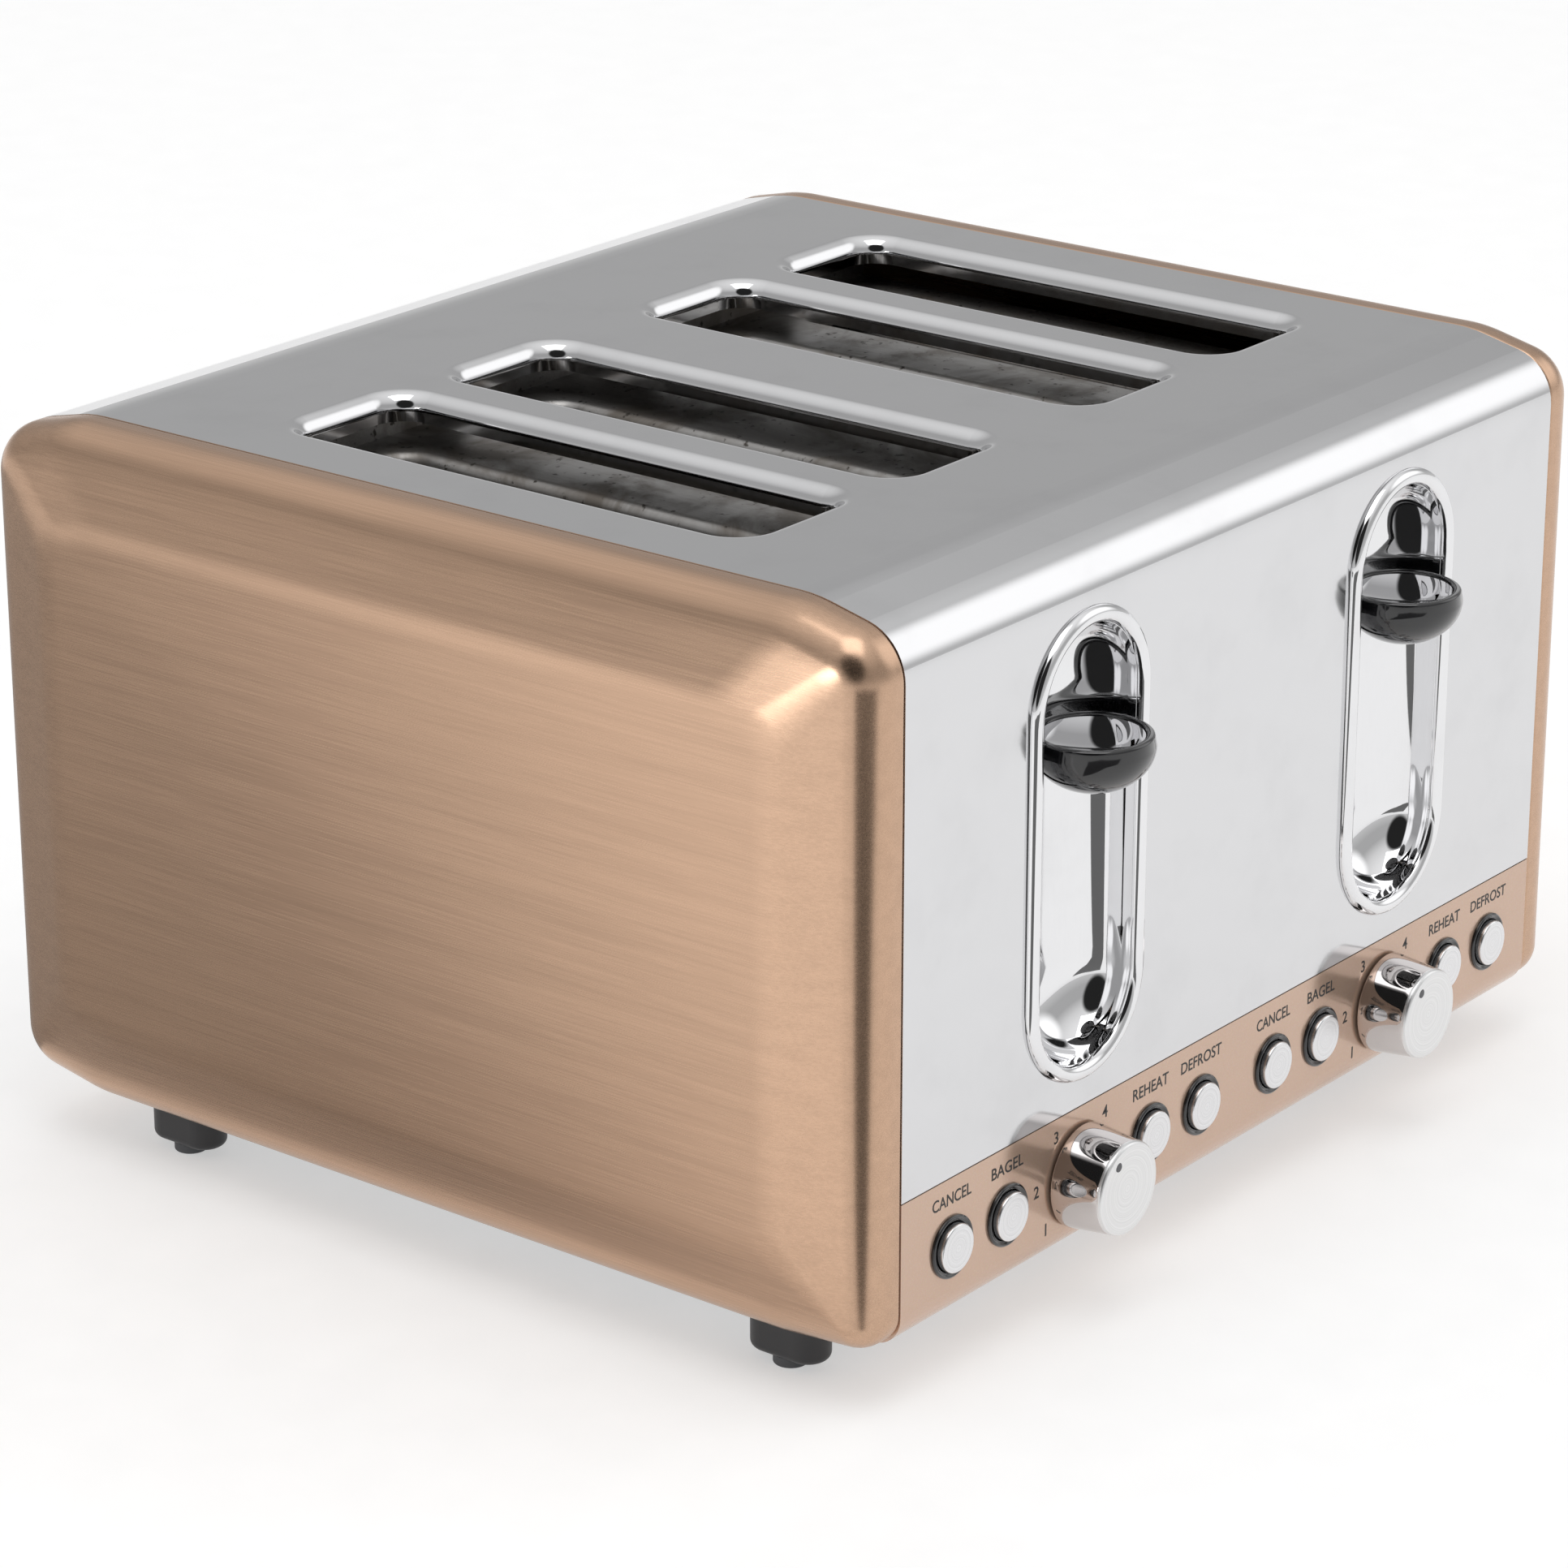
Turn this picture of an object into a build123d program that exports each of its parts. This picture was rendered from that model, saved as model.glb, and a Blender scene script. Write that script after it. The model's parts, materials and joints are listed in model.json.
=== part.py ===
from build123d import *
import math
import os

# Four-slot pop-up toaster. Millimetres, +Z up, +X to the right, front towards -Y.
# The origin is on the ground below the middle of the whole object.

# ---------------------------------------------------------------- driving dimensions
# Body
body_depth = 268.4
body_height = 175.0
wrap_width = 269.7
panel_width = 18.6
sheet = 1.0
seam_gap = 0.3
facet_run_top = 24.2
facet_run_base = 26.2
facet_angle_top = 13.0
facet_angle_base = 10.0
corner_radius_top = 13.0
corner_radius_base = 12.0
kink_radius = 40.0
wrap_lower_edge = 36.8

# Pressed side panels
panel_rim_width = 11.0
panel_bevel_inset = 23.4
panel_face_facet_run = 17.0
panel_face_facet_angle = 10.7
panel_face_radius = 10.0
panel_bend_radius = 3.6
panel_bend_steps = 4
panel_lip_width = 12.0

# Feet
foot_height = 11.5
foot_length = 21.0
foot_width = 11.0
foot_round = 2.0
foot_x = 131.0
foot_front = 34.2
foot_rear = 43.2
pad_height = 2.5
pad_radius = 4.2
pad_round = 0.5

# Bread slots
slot_offset = 28.35
chamber_offset = 65.75
slot_front_setback = 61.7
slot_rear_setback = 68.7
slot_width = 39.0
slot_corner = 8.0
slot_roll = 4.5
slot_lip = 7.0
roll_shortfall = 0.05
frame_drop = 14.0
frame_slot_step = 3.0
frame_slot_end_step = 3.5
frame_slot_corner = 7.0
frame_roll = 3.0
frame_lip = 6.0

# Toasting chamber
chamber_front_margin = 8.7
chamber_rear_margin = 7.8
chamber_half_width = 121.5
reflector_drop = 12.0
centre_reflector_half = 9.0
heater_offset = 22.75
heater_thickness = 1.0
heater_floor_gap = 29.0
heater_top_gap = 3.0
heater_clip = 4.0

# Bread guides
guide_offset = 15.5
guide_travel = 6.0
guide_wire = 1.0
guide_bar = 1.2
guide_floor_gap = 37.0
guide_frame_gap = 12.0
guide_wires = 9
guide_end_reach = 2.5
window_play = 1.0

# Lever channels and levers
channel_width = 44.2
channel_height = 113.5
channel_top_drop = 17.0
channel_rim = 3.1
channel_rim_proud = 1.6
channel_rim_outer_round = 1.5
channel_rim_inner_round = 1.4
channel_depth = 14.5
channel_back_radius = 12.0
channel_wall = 1.2
knob_radius = 14.5
knob_rim_radius = 14.1
knob_drop = 45.6
knob_shoulder = 3.0
knob_bowl_depth = 11.0
round_handle = 0.5523
knob_proud = 1.2
knob_edge = 1.0
cap_radius = 11.7
cap_thickness = 1.4
cap_recess = 0.5
cap_round = 0.35
arm_shift = -6.5
arm_thickness = 2.4
arm_height = 6.0
arm_rise = 3.5
arm_start = 2.0
arm_slit_end_play = 1.5
lever_down = 56.0
lever_up = 14.0

# Carriages
rod_radius = 3.0
rod_spread = 20.0
rod_setback = 30.0
rod_overrun = 2.5
bush_radius = 5.0
bush_length = 12.0
running_gap = 0.05
carriage_width = 68.0
carriage_thickness = 1.5
carriage_height = 45.0
carriage_over_arm = 2.1
armature_width = 20.0
armature_thickness = 2.0
rack_thickness = 2.5
rack_height = 8.0
rack_comb_half = 7.5
rack_comb_height = 3.0
rack_combs = 8
rack_end_gap = 9.0
rack_slit_play = 1.5
rack_slit_end_play = 2.0
spring_radius = 4.0
spring_wire = 0.5
spring_pitch = 2.6

# Mechanism brackets and magnets
shelf_thickness = 1.5
shelf_floor_gap = 5.0
shelf_roof_gap = 22.0
shelf_half_width = 26.0
shelf_front_setback = 22.0
bracket_half_width = 23.0
magnet_core_width = 16.0
magnet_depth = 11.0
magnet_coil_radius = 5.6
magnet_gap = 0.4
magnet_yoke = 2.0
magnet_leg_gap = 5.33
magnet_coil_share = 0.6

# Control strip
control_rise = 19.5
panel_front_bend = 8.0
panel_return = 18.0
panel_underside_rise = 0.6
panel_top_flange = 7.0
button_outer_offset = 50.1
button_inner_offset = 28.8
button_ring_radius = 7.65
button_ring_proud = 0.9
button_ring_round = 0.45
button_sleeve_radius = 6.7
button_sleeve_length = 3.0
button_radius = 5.9
button_proud = 2.2
button_gap = 0.3
button_round = 0.6
button_flange_radius = 7.2
button_flange_thickness = 1.4
button_stem_radius = 2.4
button_travel = 1.8
dial_base_radius = 12.8
dial_face_radius = 11.4
dial_height = 14.2
dial_rim_round = 1.2
dial_dish_radius = 9.8
dial_dish_depth = 0.5
dial_clearance = 0.6
dial_shaft_radius = 3.0
dial_shaft_hole_gap = 1.0
board_setback = 18.6
board_thickness = 1.6
board_height = 27.0
board_half_width = 56.5
pot_radius = 8.0
pot_depth = 6.0
switch_width = 6.0

# Rear strip, crumb trays and cord inlet
rear_bend = 3.0
rear_return = 14.0
tray_inner_x = 13.0
tray_outer_x = 119.0
tray_floor_rise = 5.0
tray_wall_height = 7.5
tray_front_gap = 5.0
tray_gap = 1.2
tray_handle_reach = 7.0
tray_handle_height = 11.0
tray_handle_half = 34.0
tray_front_round = 4.0
tray_front_overlap = 2.4
rail_width = 4.0
vent_length = 15.0
vent_width = 2.4
vent_pitch = 5.2
vent_count = 14
floor_vent_length = 30.0
floor_vent_pitch_x = 20.8
floor_vent_pitch_y = 31.2
floor_vent_count = 4
gland_radius = 7.0
gland_flange_radius = 10.0
gland_flange = 3.0
gland_nose = 5.0
gland_bore_radius = 3.6
gland_tail = 8.0
gland_rise = 24.0
terminal_width = 15.0
terminal_pitch = 6.0
terminal_depth = 14.0
terminal_height = 12.0

# Fasteners
screw_radius = 1.5
screw_head_radius = 3.5
screw_head_height = 1.8
screw_reach = 6.0
screw_x = 128.5
screw_foot_gap = 33.5
rear_screw_rise = 28.0

# ---------------------------------------------------------------- derived places
front_reach = knob_radius + knob_proud
rear_reach = tray_handle_reach
body_mid_y = (front_reach - rear_reach) / 2
front_y = body_mid_y - body_depth / 2
rear_y = body_mid_y + body_depth / 2
base_z = foot_height + pad_height
top_z = base_z + body_height
wrap_lower_z = base_z + wrap_lower_edge
strip_upper_z = wrap_lower_z - seam_gap
floor_z = base_z + sheet
roof_z = top_z - sheet

slot_length = body_depth - slot_front_setback - slot_rear_setback
slot_y = front_y + slot_front_setback + slot_length / 2
frame_slot_width = slot_width - 2 * frame_slot_step
frame_slot_length = slot_length - 2 * frame_slot_end_step
slot_xs = [side * (chamber_offset + step) for side in (-1, 1) for step in (-slot_offset, slot_offset)]
frame_z = top_z - frame_drop
heater_bottom = floor_z + heater_floor_gap
guide_bottom = floor_z + guide_floor_gap
guide_top = frame_z - guide_frame_gap
shelf_bottom = floor_z + shelf_floor_gap
shelf_top = roof_z - shelf_roof_gap
chamber_front_y = slot_y - slot_length / 2 - chamber_front_margin
chamber_rear_y = slot_y + slot_length / 2 + chamber_rear_margin
chamber_length = chamber_rear_y - chamber_front_y
bulkhead_y = chamber_front_y - sheet

knob_y = front_y - knob_proud
knob_top_z = top_z - knob_drop
channel_top_z = top_z - channel_top_drop
channel_mid_z = channel_top_z - channel_height / 2
rod_y = front_y + rod_setback
carriage_front_y = rod_y + bush_radius - carriage_thickness / 2
carriage_back_y = carriage_front_y + carriage_thickness
arm_low_z = knob_top_z - knob_shoulder - knob_bowl_depth + arm_rise
carriage_top = arm_low_z + arm_height + carriage_over_arm
carriage_bottom = carriage_top - carriage_height
shelf_rear_y = bulkhead_y - seam_gap
control_z = base_z + control_rise
control_x = chamber_offset
tray_floor_z = floor_z + tray_floor_rise

front_plane = Plane.XZ.offset(-front_y)
rear_plane = Plane.XZ.offset(-rear_y)
screw_spacing = (body_depth - foot_front - foot_rear) / 2 - screw_foot_gap
button_offsets = (-button_outer_offset, -button_inner_offset, button_inner_offset, button_outer_offset)
button_names = ("cancel", "bagel", "reheat", "defrost")
sides = {"left": -1, "right": 1}


# ---------------------------------------------------------------- shared helpers
def save(piece, name):
    """Label a finished piece and write it under its own name."""
    piece.part.label = name
    export_step(piece.part, f"parts/{name}.step")


def front_at(depth):
    """Plane parallel to the front, a depth behind it, facing forwards."""
    return Plane.XZ.offset(-(front_y + depth))


def outline(x, inset, margin, run_top, angle_top, run_base, angle_base, radii):
    """Side outline on the plane at x: a rectangle whose ends fall away in shallow facets.

    The rectangle stands in from the body's box by a margin, and the whole outline is then drawn
    in evenly by an inset. The radii are those of the soft kinks, the top and the base corners.
    """
    half = body_depth / 2 - margin - inset
    low = base_z + margin + inset
    high = top_z - margin - inset
    run_t = run_top - inset * (1 - math.tan(math.radians(angle_top / 2)))
    run_b = run_base - inset * (1 - math.tan(math.radians(angle_base / 2)))
    drop = run_t * math.tan(math.radians(angle_top))
    rise = run_b * math.tan(math.radians(angle_base))
    corners = [
        (body_mid_y - half + run_b, low),
        (body_mid_y + half - run_b, low),
        (body_mid_y + half, low + rise),
        (body_mid_y + half, high - drop),
        (body_mid_y + half - run_t, high),
        (body_mid_y - half + run_t, high),
        (body_mid_y - half, high - drop),
        (body_mid_y - half, low + rise),
    ]
    soft, top, base = [radius - inset for radius in radii]
    with BuildSketch(Plane.YZ.offset(x)) as shape:
        with BuildLine():
            FilletPolyline(*corners, radius=[soft, soft, base, top, soft, soft, top, base], close=True)
        make_face()
    return shape.sketch


def body_outline(inset=0.0, x=0.0):
    """Side outline of the body, drawn in by an inset, on the plane at x."""
    return outline(
        x, inset, 0, facet_run_top, facet_angle_top, facet_run_base, facet_angle_base,
        (kink_radius, corner_radius_top, corner_radius_base),
    )


def face_outline(inset, x):
    """Outline of a side panel's raised face, drawn in by an inset, on the plane at x."""
    run = panel_face_facet_run
    angle = panel_face_facet_angle
    return outline(
        x, inset, panel_bevel_inset, run, angle, run, angle,
        (kink_radius, panel_face_radius, panel_face_radius),
    )


def slot_places(z=0.0):
    """The middles of the four bread slots."""
    return Locations(*[(x, slot_y, z) for x in slot_xs])


def rolled_rim(width, length, corner, roll, lip):
    """Sheet rim of a slot: its inner edge rolls down into a straight lip. Its top is at z = 0."""
    with BuildPart() as under:
        with BuildSketch(Plane.XY.offset(-sheet)):
            RectangleRounded(width + 2 * roll, length + 2 * roll, corner + roll)
            RectangleRounded(
                width + 2 * sheet, length + 2 * sheet, corner + sheet, mode=Mode.SUBTRACT
            )
        extrude(amount=-lip)
        mouth = under.faces().sort_by(Axis.Z)[-1].inner_wires()[0]
        fillet(mouth.edges(), roll - sheet - roll_shortfall)
    with BuildPart() as rim:
        with BuildSketch(Plane.XY):
            RectangleRounded(width + 2 * roll, length + 2 * roll, corner + roll)
            RectangleRounded(width, length, corner, mode=Mode.SUBTRACT)
        extrude(amount=-lip)
        mouth = rim.faces().sort_by(Axis.Z)[-1].inner_wires()[0]
        fillet(mouth.edges(), roll - roll_shortfall)
        add(under.part, mode=Mode.SUBTRACT)
    return rim.part


# ---------------------------------------------------------------- body shell
def make_wrap_cover():
    """Polished sheet wrapped over the front, top and rear, with slot rims and lever openings."""
    rim = rolled_rim(slot_width, slot_length, slot_corner, slot_roll, slot_lip)
    opening_width = channel_width - channel_rim
    opening_height = channel_height - channel_rim
    with BuildPart() as wrap:
        extrude(body_outline(), amount=wrap_width / 2, both=True)
        extrude(body_outline(sheet), amount=wrap_width / 2, both=True, mode=Mode.SUBTRACT)
        with Locations((0, body_mid_y, wrap_lower_z)):
            Box(
                wrap_width + 2, body_depth + 2, body_height,
                align=(Align.CENTER, Align.CENTER, Align.MAX), mode=Mode.SUBTRACT,
            )
        with BuildSketch(Plane.XY.offset(top_z)):
            with slot_places():
                RectangleRounded(
                    slot_width + 2 * slot_roll, slot_length + 2 * slot_roll, slot_corner + slot_roll
                )
        extrude(amount=-2 * sheet, mode=Mode.SUBTRACT)
        with slot_places(top_z):
            add(rim)
        with BuildSketch(front_plane):
            with Locations((-control_x, channel_mid_z), (control_x, channel_mid_z)):
                SlotOverall(opening_height, opening_width, rotation=90)
        extrude(amount=-2 * sheet, mode=Mode.SUBTRACT)
    save(wrap, "wrap_cover")


def pan_solid(inset, side):
    """Solid inside a side panel's outer skin, drawn in by an inset: rim, bend, bevel and face."""
    inner_x = wrap_width / 2 + seam_gap / 2
    rise = panel_width - panel_rim_width
    turn = math.atan2(panel_bevel_inset, rise)
    bend = panel_bend_radius - inset
    bend_x = inner_x + panel_rim_width - panel_bend_radius * math.tan(turn / 2)
    sections = [body_outline(inset, side * inner_x)]
    for step in range(panel_bend_steps + 1):
        angle = turn * step / panel_bend_steps
        x = bend_x + bend * math.sin(angle)
        sections.append(body_outline(panel_bend_radius - bend * math.cos(angle), side * x))
    sections.append(face_outline(inset, side * (inner_x + panel_width - inset)))
    with BuildPart() as pan:
        loft(sections, ruled=True)
    return pan.part


def make_side_panel(name, side):
    """Pressed copper-coloured pan that closes one side, with an inner lip under the wrap."""
    inner_x = wrap_width / 2 + seam_gap / 2
    lip_inset = sheet + seam_gap
    outer = pan_solid(0.0, side)
    inner = pan_solid(sheet, side)
    with BuildPart() as panel:
        add(outer)
        add(inner, mode=Mode.SUBTRACT)
        extrude(body_outline(0.0, side * inner_x), amount=side * sheet)
        extrude(
            body_outline(lip_inset, side * (inner_x + sheet)), amount=-side * (panel_lip_width + sheet)
        )
        extrude(
            body_outline(lip_inset + sheet, side * (inner_x + 2 * sheet)),
            amount=-side * (panel_lip_width + 3 * sheet), mode=Mode.SUBTRACT,
        )
        with Locations(*[(side * screw_x, body_mid_y + k * screw_spacing, base_z) for k in (-1, 0, 1)]):
            Cylinder(screw_radius + running_gap, 4 * screw_reach, mode=Mode.SUBTRACT)
        with BuildSketch(rear_plane):
            with Locations((side * screw_x, base_z + rear_screw_rise)):
                Circle(screw_radius + running_gap)
        extrude(amount=2 * screw_reach, mode=Mode.SUBTRACT)
    save(panel, name)


def strip_solid(outer_y, inward, bend, reach):
    """Strip that closes the body's lower edge: a face, a bend and a return under the body.

    Its top flange stops short of the side panels' lips.
    """
    low = base_z + panel_underside_rise
    with BuildPart() as strip:
        with BuildSketch(Plane.YZ):
            with BuildLine():
                FilletPolyline(
                    (outer_y, strip_upper_z),
                    (outer_y, low),
                    (outer_y + inward * reach, low),
                    (outer_y + inward * reach, low + sheet),
                    (outer_y + inward * sheet, low + sheet),
                    (outer_y + inward * sheet, strip_upper_z),
                    radius=[0, bend, 0, 0, bend - sheet, 0], close=True,
                )
            make_face()
        extrude(amount=wrap_width / 2, both=True)
        with Locations((0, outer_y + inward * panel_top_flange / 2, strip_upper_z)):
            Box(
                wrap_width - 2 * (panel_lip_width + sheet), panel_top_flange, sheet,
                align=(Align.CENTER, Align.CENTER, Align.MAX),
            )
    return strip.part


def make_control_panel():
    """Copper-coloured strip across the lower front, drilled for the buttons and the dials."""
    with BuildPart() as panel:
        add(strip_solid(front_y, 1, panel_front_bend, panel_return))
        with BuildSketch(front_plane):
            with Locations(*button_places()):
                Circle(button_sleeve_radius)
            with Locations((-control_x, control_z), (control_x, control_z)):
                Circle(dial_shaft_radius + dial_shaft_hole_gap)
        extrude(amount=-2 * sheet, mode=Mode.SUBTRACT)
    save(panel, "control_panel")


def button_places():
    """Middles of the eight buttons on the front plane."""
    return [
        (side * control_x + step, control_z)
        for side in (-1, 1)
        for step in button_offsets
    ]


def make_rear_panel():
    """Strip across the lower rear with vents, two tray mouths and the cord inlet's hole."""
    tray_mid = (tray_inner_x + tray_outer_x) / 2
    tray_width = tray_outer_x - tray_inner_x
    mouth_z = tray_floor_z - tray_gap
    mouth_height = tray_wall_height + 2 * tray_gap
    vent_z = (mouth_z + mouth_height + strip_upper_z) / 2
    with BuildPart() as panel:
        add(strip_solid(rear_y, -1, rear_bend, rear_return))
        with Locations(*[(side * tray_mid, rear_y, mouth_z) for side in (-1, 1)]):
            Box(
                tray_width + 2 * tray_gap, 3 * sheet, mouth_height,
                align=(Align.CENTER, Align.CENTER, Align.MIN), mode=Mode.SUBTRACT,
            )
        with BuildSketch(rear_plane):
            for side in (-1, 1):
                with Locations((side * tray_mid, vent_z)):
                    with GridLocations(vent_pitch, 1, vent_count, 1):
                        SlotOverall(vent_length, vent_width, rotation=90)
            with Locations((0, base_z + gland_rise)):
                Circle(gland_radius)
            with Locations(*rear_screw_places()):
                Circle(screw_radius)
        extrude(amount=2 * sheet, both=True, mode=Mode.SUBTRACT)
    save(panel, "rear_panel")


def rear_screw_places():
    """Middles of the two rear screws."""
    return [(-screw_x, base_z + rear_screw_rise), (screw_x, base_z + rear_screw_rise)]


def base_screw_places():
    """Middles of the six screws that hold the side panels to the base."""
    return [(side * screw_x, body_mid_y + k * screw_spacing) for side in (-1, 1) for k in (-1, 0, 1)]


def make_base_plate():
    """Flat floor with runners for the crumb trays and air slots under the chamber."""
    front_edge = front_y + panel_return + seam_gap
    rear_edge = rear_y - rear_return - seam_gap
    rail_length = rear_edge - chamber_front_y - tray_front_gap
    rail_xs = [
        side * x
        for side in (-1, 1)
        for x in (tray_inner_x + rail_width, tray_outer_x - rail_width)
    ]
    with BuildPart() as base:
        with Locations((0, front_edge, base_z)):
            Box(
                wrap_width, rear_edge - front_edge, sheet,
                align=(Align.CENTER, Align.MIN, Align.MIN),
            )
        with Locations(*[(x, chamber_front_y + tray_front_gap, floor_z) for x in rail_xs]):
            Box(
                rail_width, rail_length, tray_floor_rise - seam_gap,
                align=(Align.CENTER, Align.MIN, Align.MIN),
            )
        with BuildSketch(Plane.XY.offset(base_z)):
            for side in (-1, 1):
                with Locations((side * chamber_offset, slot_y)):
                    with GridLocations(
                        floor_vent_pitch_x, floor_vent_pitch_y, floor_vent_count, floor_vent_count
                    ):
                        SlotOverall(floor_vent_length, vent_width, rotation=90)
            with Locations(*base_screw_places()):
                Circle(screw_radius)
        extrude(amount=sheet, mode=Mode.SUBTRACT)
    save(base, "base_plate")


# ---------------------------------------------------------------- toasting chamber
def make_slot_frame():
    """Inner top plate under the wrap, with a smaller rolled mouth below each slot."""
    rim = rolled_rim(frame_slot_width, frame_slot_length, frame_slot_corner, frame_roll, frame_lip)
    with BuildPart() as frame:
        with Locations((0, chamber_front_y, frame_z)):
            Box(
                2 * chamber_half_width, chamber_length, sheet,
                align=(Align.CENTER, Align.MIN, Align.MAX),
            )
        with BuildSketch(Plane.XY.offset(frame_z)):
            with slot_places():
                RectangleRounded(
                    frame_slot_width + 2 * frame_roll, frame_slot_length + 2 * frame_roll,
                    frame_slot_corner + frame_roll,
                )
        extrude(amount=-2 * sheet, mode=Mode.SUBTRACT)
        with slot_places(frame_z):
            add(rim)
    save(frame, "slot_frame")


def guide_windows():
    """Middles, across and up, of the windows that the bread guides' bars slide in."""
    middle = guide_offset - (guide_travel - guide_play()) / 2
    return [
        (x + way * middle, z)
        for x in slot_xs
        for way in (-1, 1)
        for z in (guide_bottom, guide_top)
    ]


def guide_play():
    """Outward travel of a guide when the lever is raised above its rest."""
    return guide_travel * lever_up / lever_down


def bulkhead_plate(y):
    """Upright sheet across the chamber from floor to roof, with windows for the guide bars."""
    window_length = guide_travel + guide_play() + 2 * guide_bar + 2 * window_play
    with BuildPart() as plate:
        with Locations((0, y, floor_z)):
            Box(
                2 * chamber_half_width, sheet, roof_z - floor_z,
                align=(Align.CENTER, Align.MIN, Align.MIN),
            )
        with BuildSketch(Plane.XZ.offset(-y)):
            with Locations(*guide_windows()):
                Rectangle(window_length, 2 * guide_bar + window_play)
        extrude(amount=-sheet, mode=Mode.SUBTRACT)
    return plate.part


def make_front_bulkhead():
    """Front wall of the chamber, slit for the bread racks to rise and fall."""
    low = carriage_bottom - lever_down - rack_slit_end_play
    high = carriage_bottom + rack_height + lever_up + rack_slit_end_play
    with BuildPart() as bulkhead:
        add(bulkhead_plate(bulkhead_y))
        with Locations(*[(x, bulkhead_y, low) for x in slot_xs]):
            Box(
                rack_thickness + 2 * rack_slit_play, 3 * sheet, high - low,
                align=(Align.CENTER, Align.CENTER, Align.MIN), mode=Mode.SUBTRACT,
            )
    save(bulkhead, "front_bulkhead")


def make_rear_bulkhead():
    """Rear wall of the chamber, open at the foot for the crumb trays."""
    tray_mid = (tray_inner_x + tray_outer_x) / 2
    tray_width = tray_outer_x - tray_inner_x
    with BuildPart() as bulkhead:
        add(bulkhead_plate(chamber_rear_y))
        with Locations(*[(side * tray_mid, chamber_rear_y, floor_z) for side in (-1, 1)]):
            Box(
                tray_width + 2 * tray_gap, 3 * sheet, tray_floor_rise + tray_wall_height + 2 * tray_gap,
                align=(Align.CENTER, Align.CENTER, Align.MIN), mode=Mode.SUBTRACT,
            )
    save(bulkhead, "rear_bulkhead")


def make_side_reflector(name, side):
    """Bright channel that stands beside the outer heater and returns its heat."""
    outer_x = chamber_half_width
    board_x = chamber_offset + slot_offset + heater_offset + heater_thickness / 2
    flange = outer_x - board_x - seam_gap
    low = heater_bottom - reflector_drop
    with BuildPart() as reflector:
        with Locations((side * (outer_x - flange / 2), chamber_front_y, low)):
            Box(
                flange, chamber_length, frame_z - sheet - low,
                align=(Align.CENTER, Align.MIN, Align.MIN),
            )
        with Locations((side * (outer_x - sheet - flange / 2), chamber_front_y + sheet, low + sheet)):
            Box(
                flange, chamber_length - 2 * sheet, frame_z - 3 * sheet - low,
                align=(Align.CENTER, Align.MIN, Align.MIN), mode=Mode.SUBTRACT,
            )
    save(reflector, name)


def make_centre_reflector():
    """Upturned channel between the two pairs of slots, reflecting to both sides."""
    low = heater_bottom - reflector_drop
    inner_half = centre_reflector_half - sheet
    with BuildPart() as reflector:
        with Locations((0, chamber_front_y, low)):
            Box(
                2 * centre_reflector_half, chamber_length, frame_z - sheet - low,
                align=(Align.CENTER, Align.MIN, Align.MIN),
            )
        with Locations((0, chamber_front_y, low)):
            Box(
                2 * inner_half, chamber_length, frame_z - 2 * sheet - low,
                align=(Align.CENTER, Align.MIN, Align.MIN), mode=Mode.SUBTRACT,
            )
    save(reflector, "centre_reflector")


def make_heater_boards():
    """Six mica boards: one each side of every slot, the middle ones shared by two slots."""
    top = frame_z - sheet - heater_top_gap
    inner = chamber_offset - slot_offset - heater_offset
    outer = chamber_offset + slot_offset + heater_offset
    places = (-outer, -chamber_offset, -inner, inner, chamber_offset, outer)
    for number, x in enumerate(places, start=1):
        with BuildPart() as board:
            with Locations((x, chamber_front_y, heater_bottom)):
                Box(
                    heater_thickness, chamber_length, top - heater_bottom,
                    align=(Align.CENTER, Align.MIN, Align.MIN),
                )
            with Locations((x, slot_y, top)):
                with GridLocations(1, frame_slot_length / 2, 1, 3):
                    Box(
                        heater_thickness, heater_clip, heater_top_gap,
                        align=(Align.CENTER, Align.CENTER, Align.MIN),
                    )
        save(board, f"heater_board_{number}")


# ---------------------------------------------------------------- bread guides
def make_guides(name, side, way):
    """Two linked wire guides, one in each slot of a side, on the same face of the bread."""
    length = chamber_length + 2 * sheet + guide_end_reach
    start_y = bulkhead_y
    wire_span = frame_slot_length - 2 * frame_slot_corner
    xs = [side * chamber_offset + step + way * guide_offset for step in (-slot_offset, slot_offset)]
    with BuildPart() as guides:
        for x in xs:
            with Locations(
                Location((x, start_y + length / 2, guide_bottom), (90, 0, 0)),
                Location((x, start_y + length / 2, guide_top), (90, 0, 0)),
            ):
                Cylinder(guide_bar, length)
            with Locations((x, slot_y, (guide_bottom + guide_top) / 2)):
                with GridLocations(1, wire_span / (guide_wires - 1), 1, guide_wires):
                    Cylinder(guide_wire, guide_top - guide_bottom)
    save(guides, name)


# ---------------------------------------------------------------- levers
def stadium(depth, height, width):
    """Upright stadium on a plane a depth behind the front, centred on the lever channel."""
    with BuildSketch(front_at(depth)) as shape:
        with Locations((0, channel_mid_z)):
            SlotOverall(height, width, rotation=90)
    return shape.sketch


def trough_solid(wall):
    """Solid filling a lever trough, grown by a wall: straight sides, then a rounded back."""
    width = channel_width - 2 * channel_rim + 2 * wall
    height = channel_height - 2 * channel_rim + 2 * wall
    with BuildPart() as trough:
        extrude(stadium(0, height, width), amount=-(channel_depth + wall))
        back = trough.faces().sort_by(Axis.Y)[-1]
        fillet(back.outer_wire().edges(), channel_back_radius + wall)
    return trough.part


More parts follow.
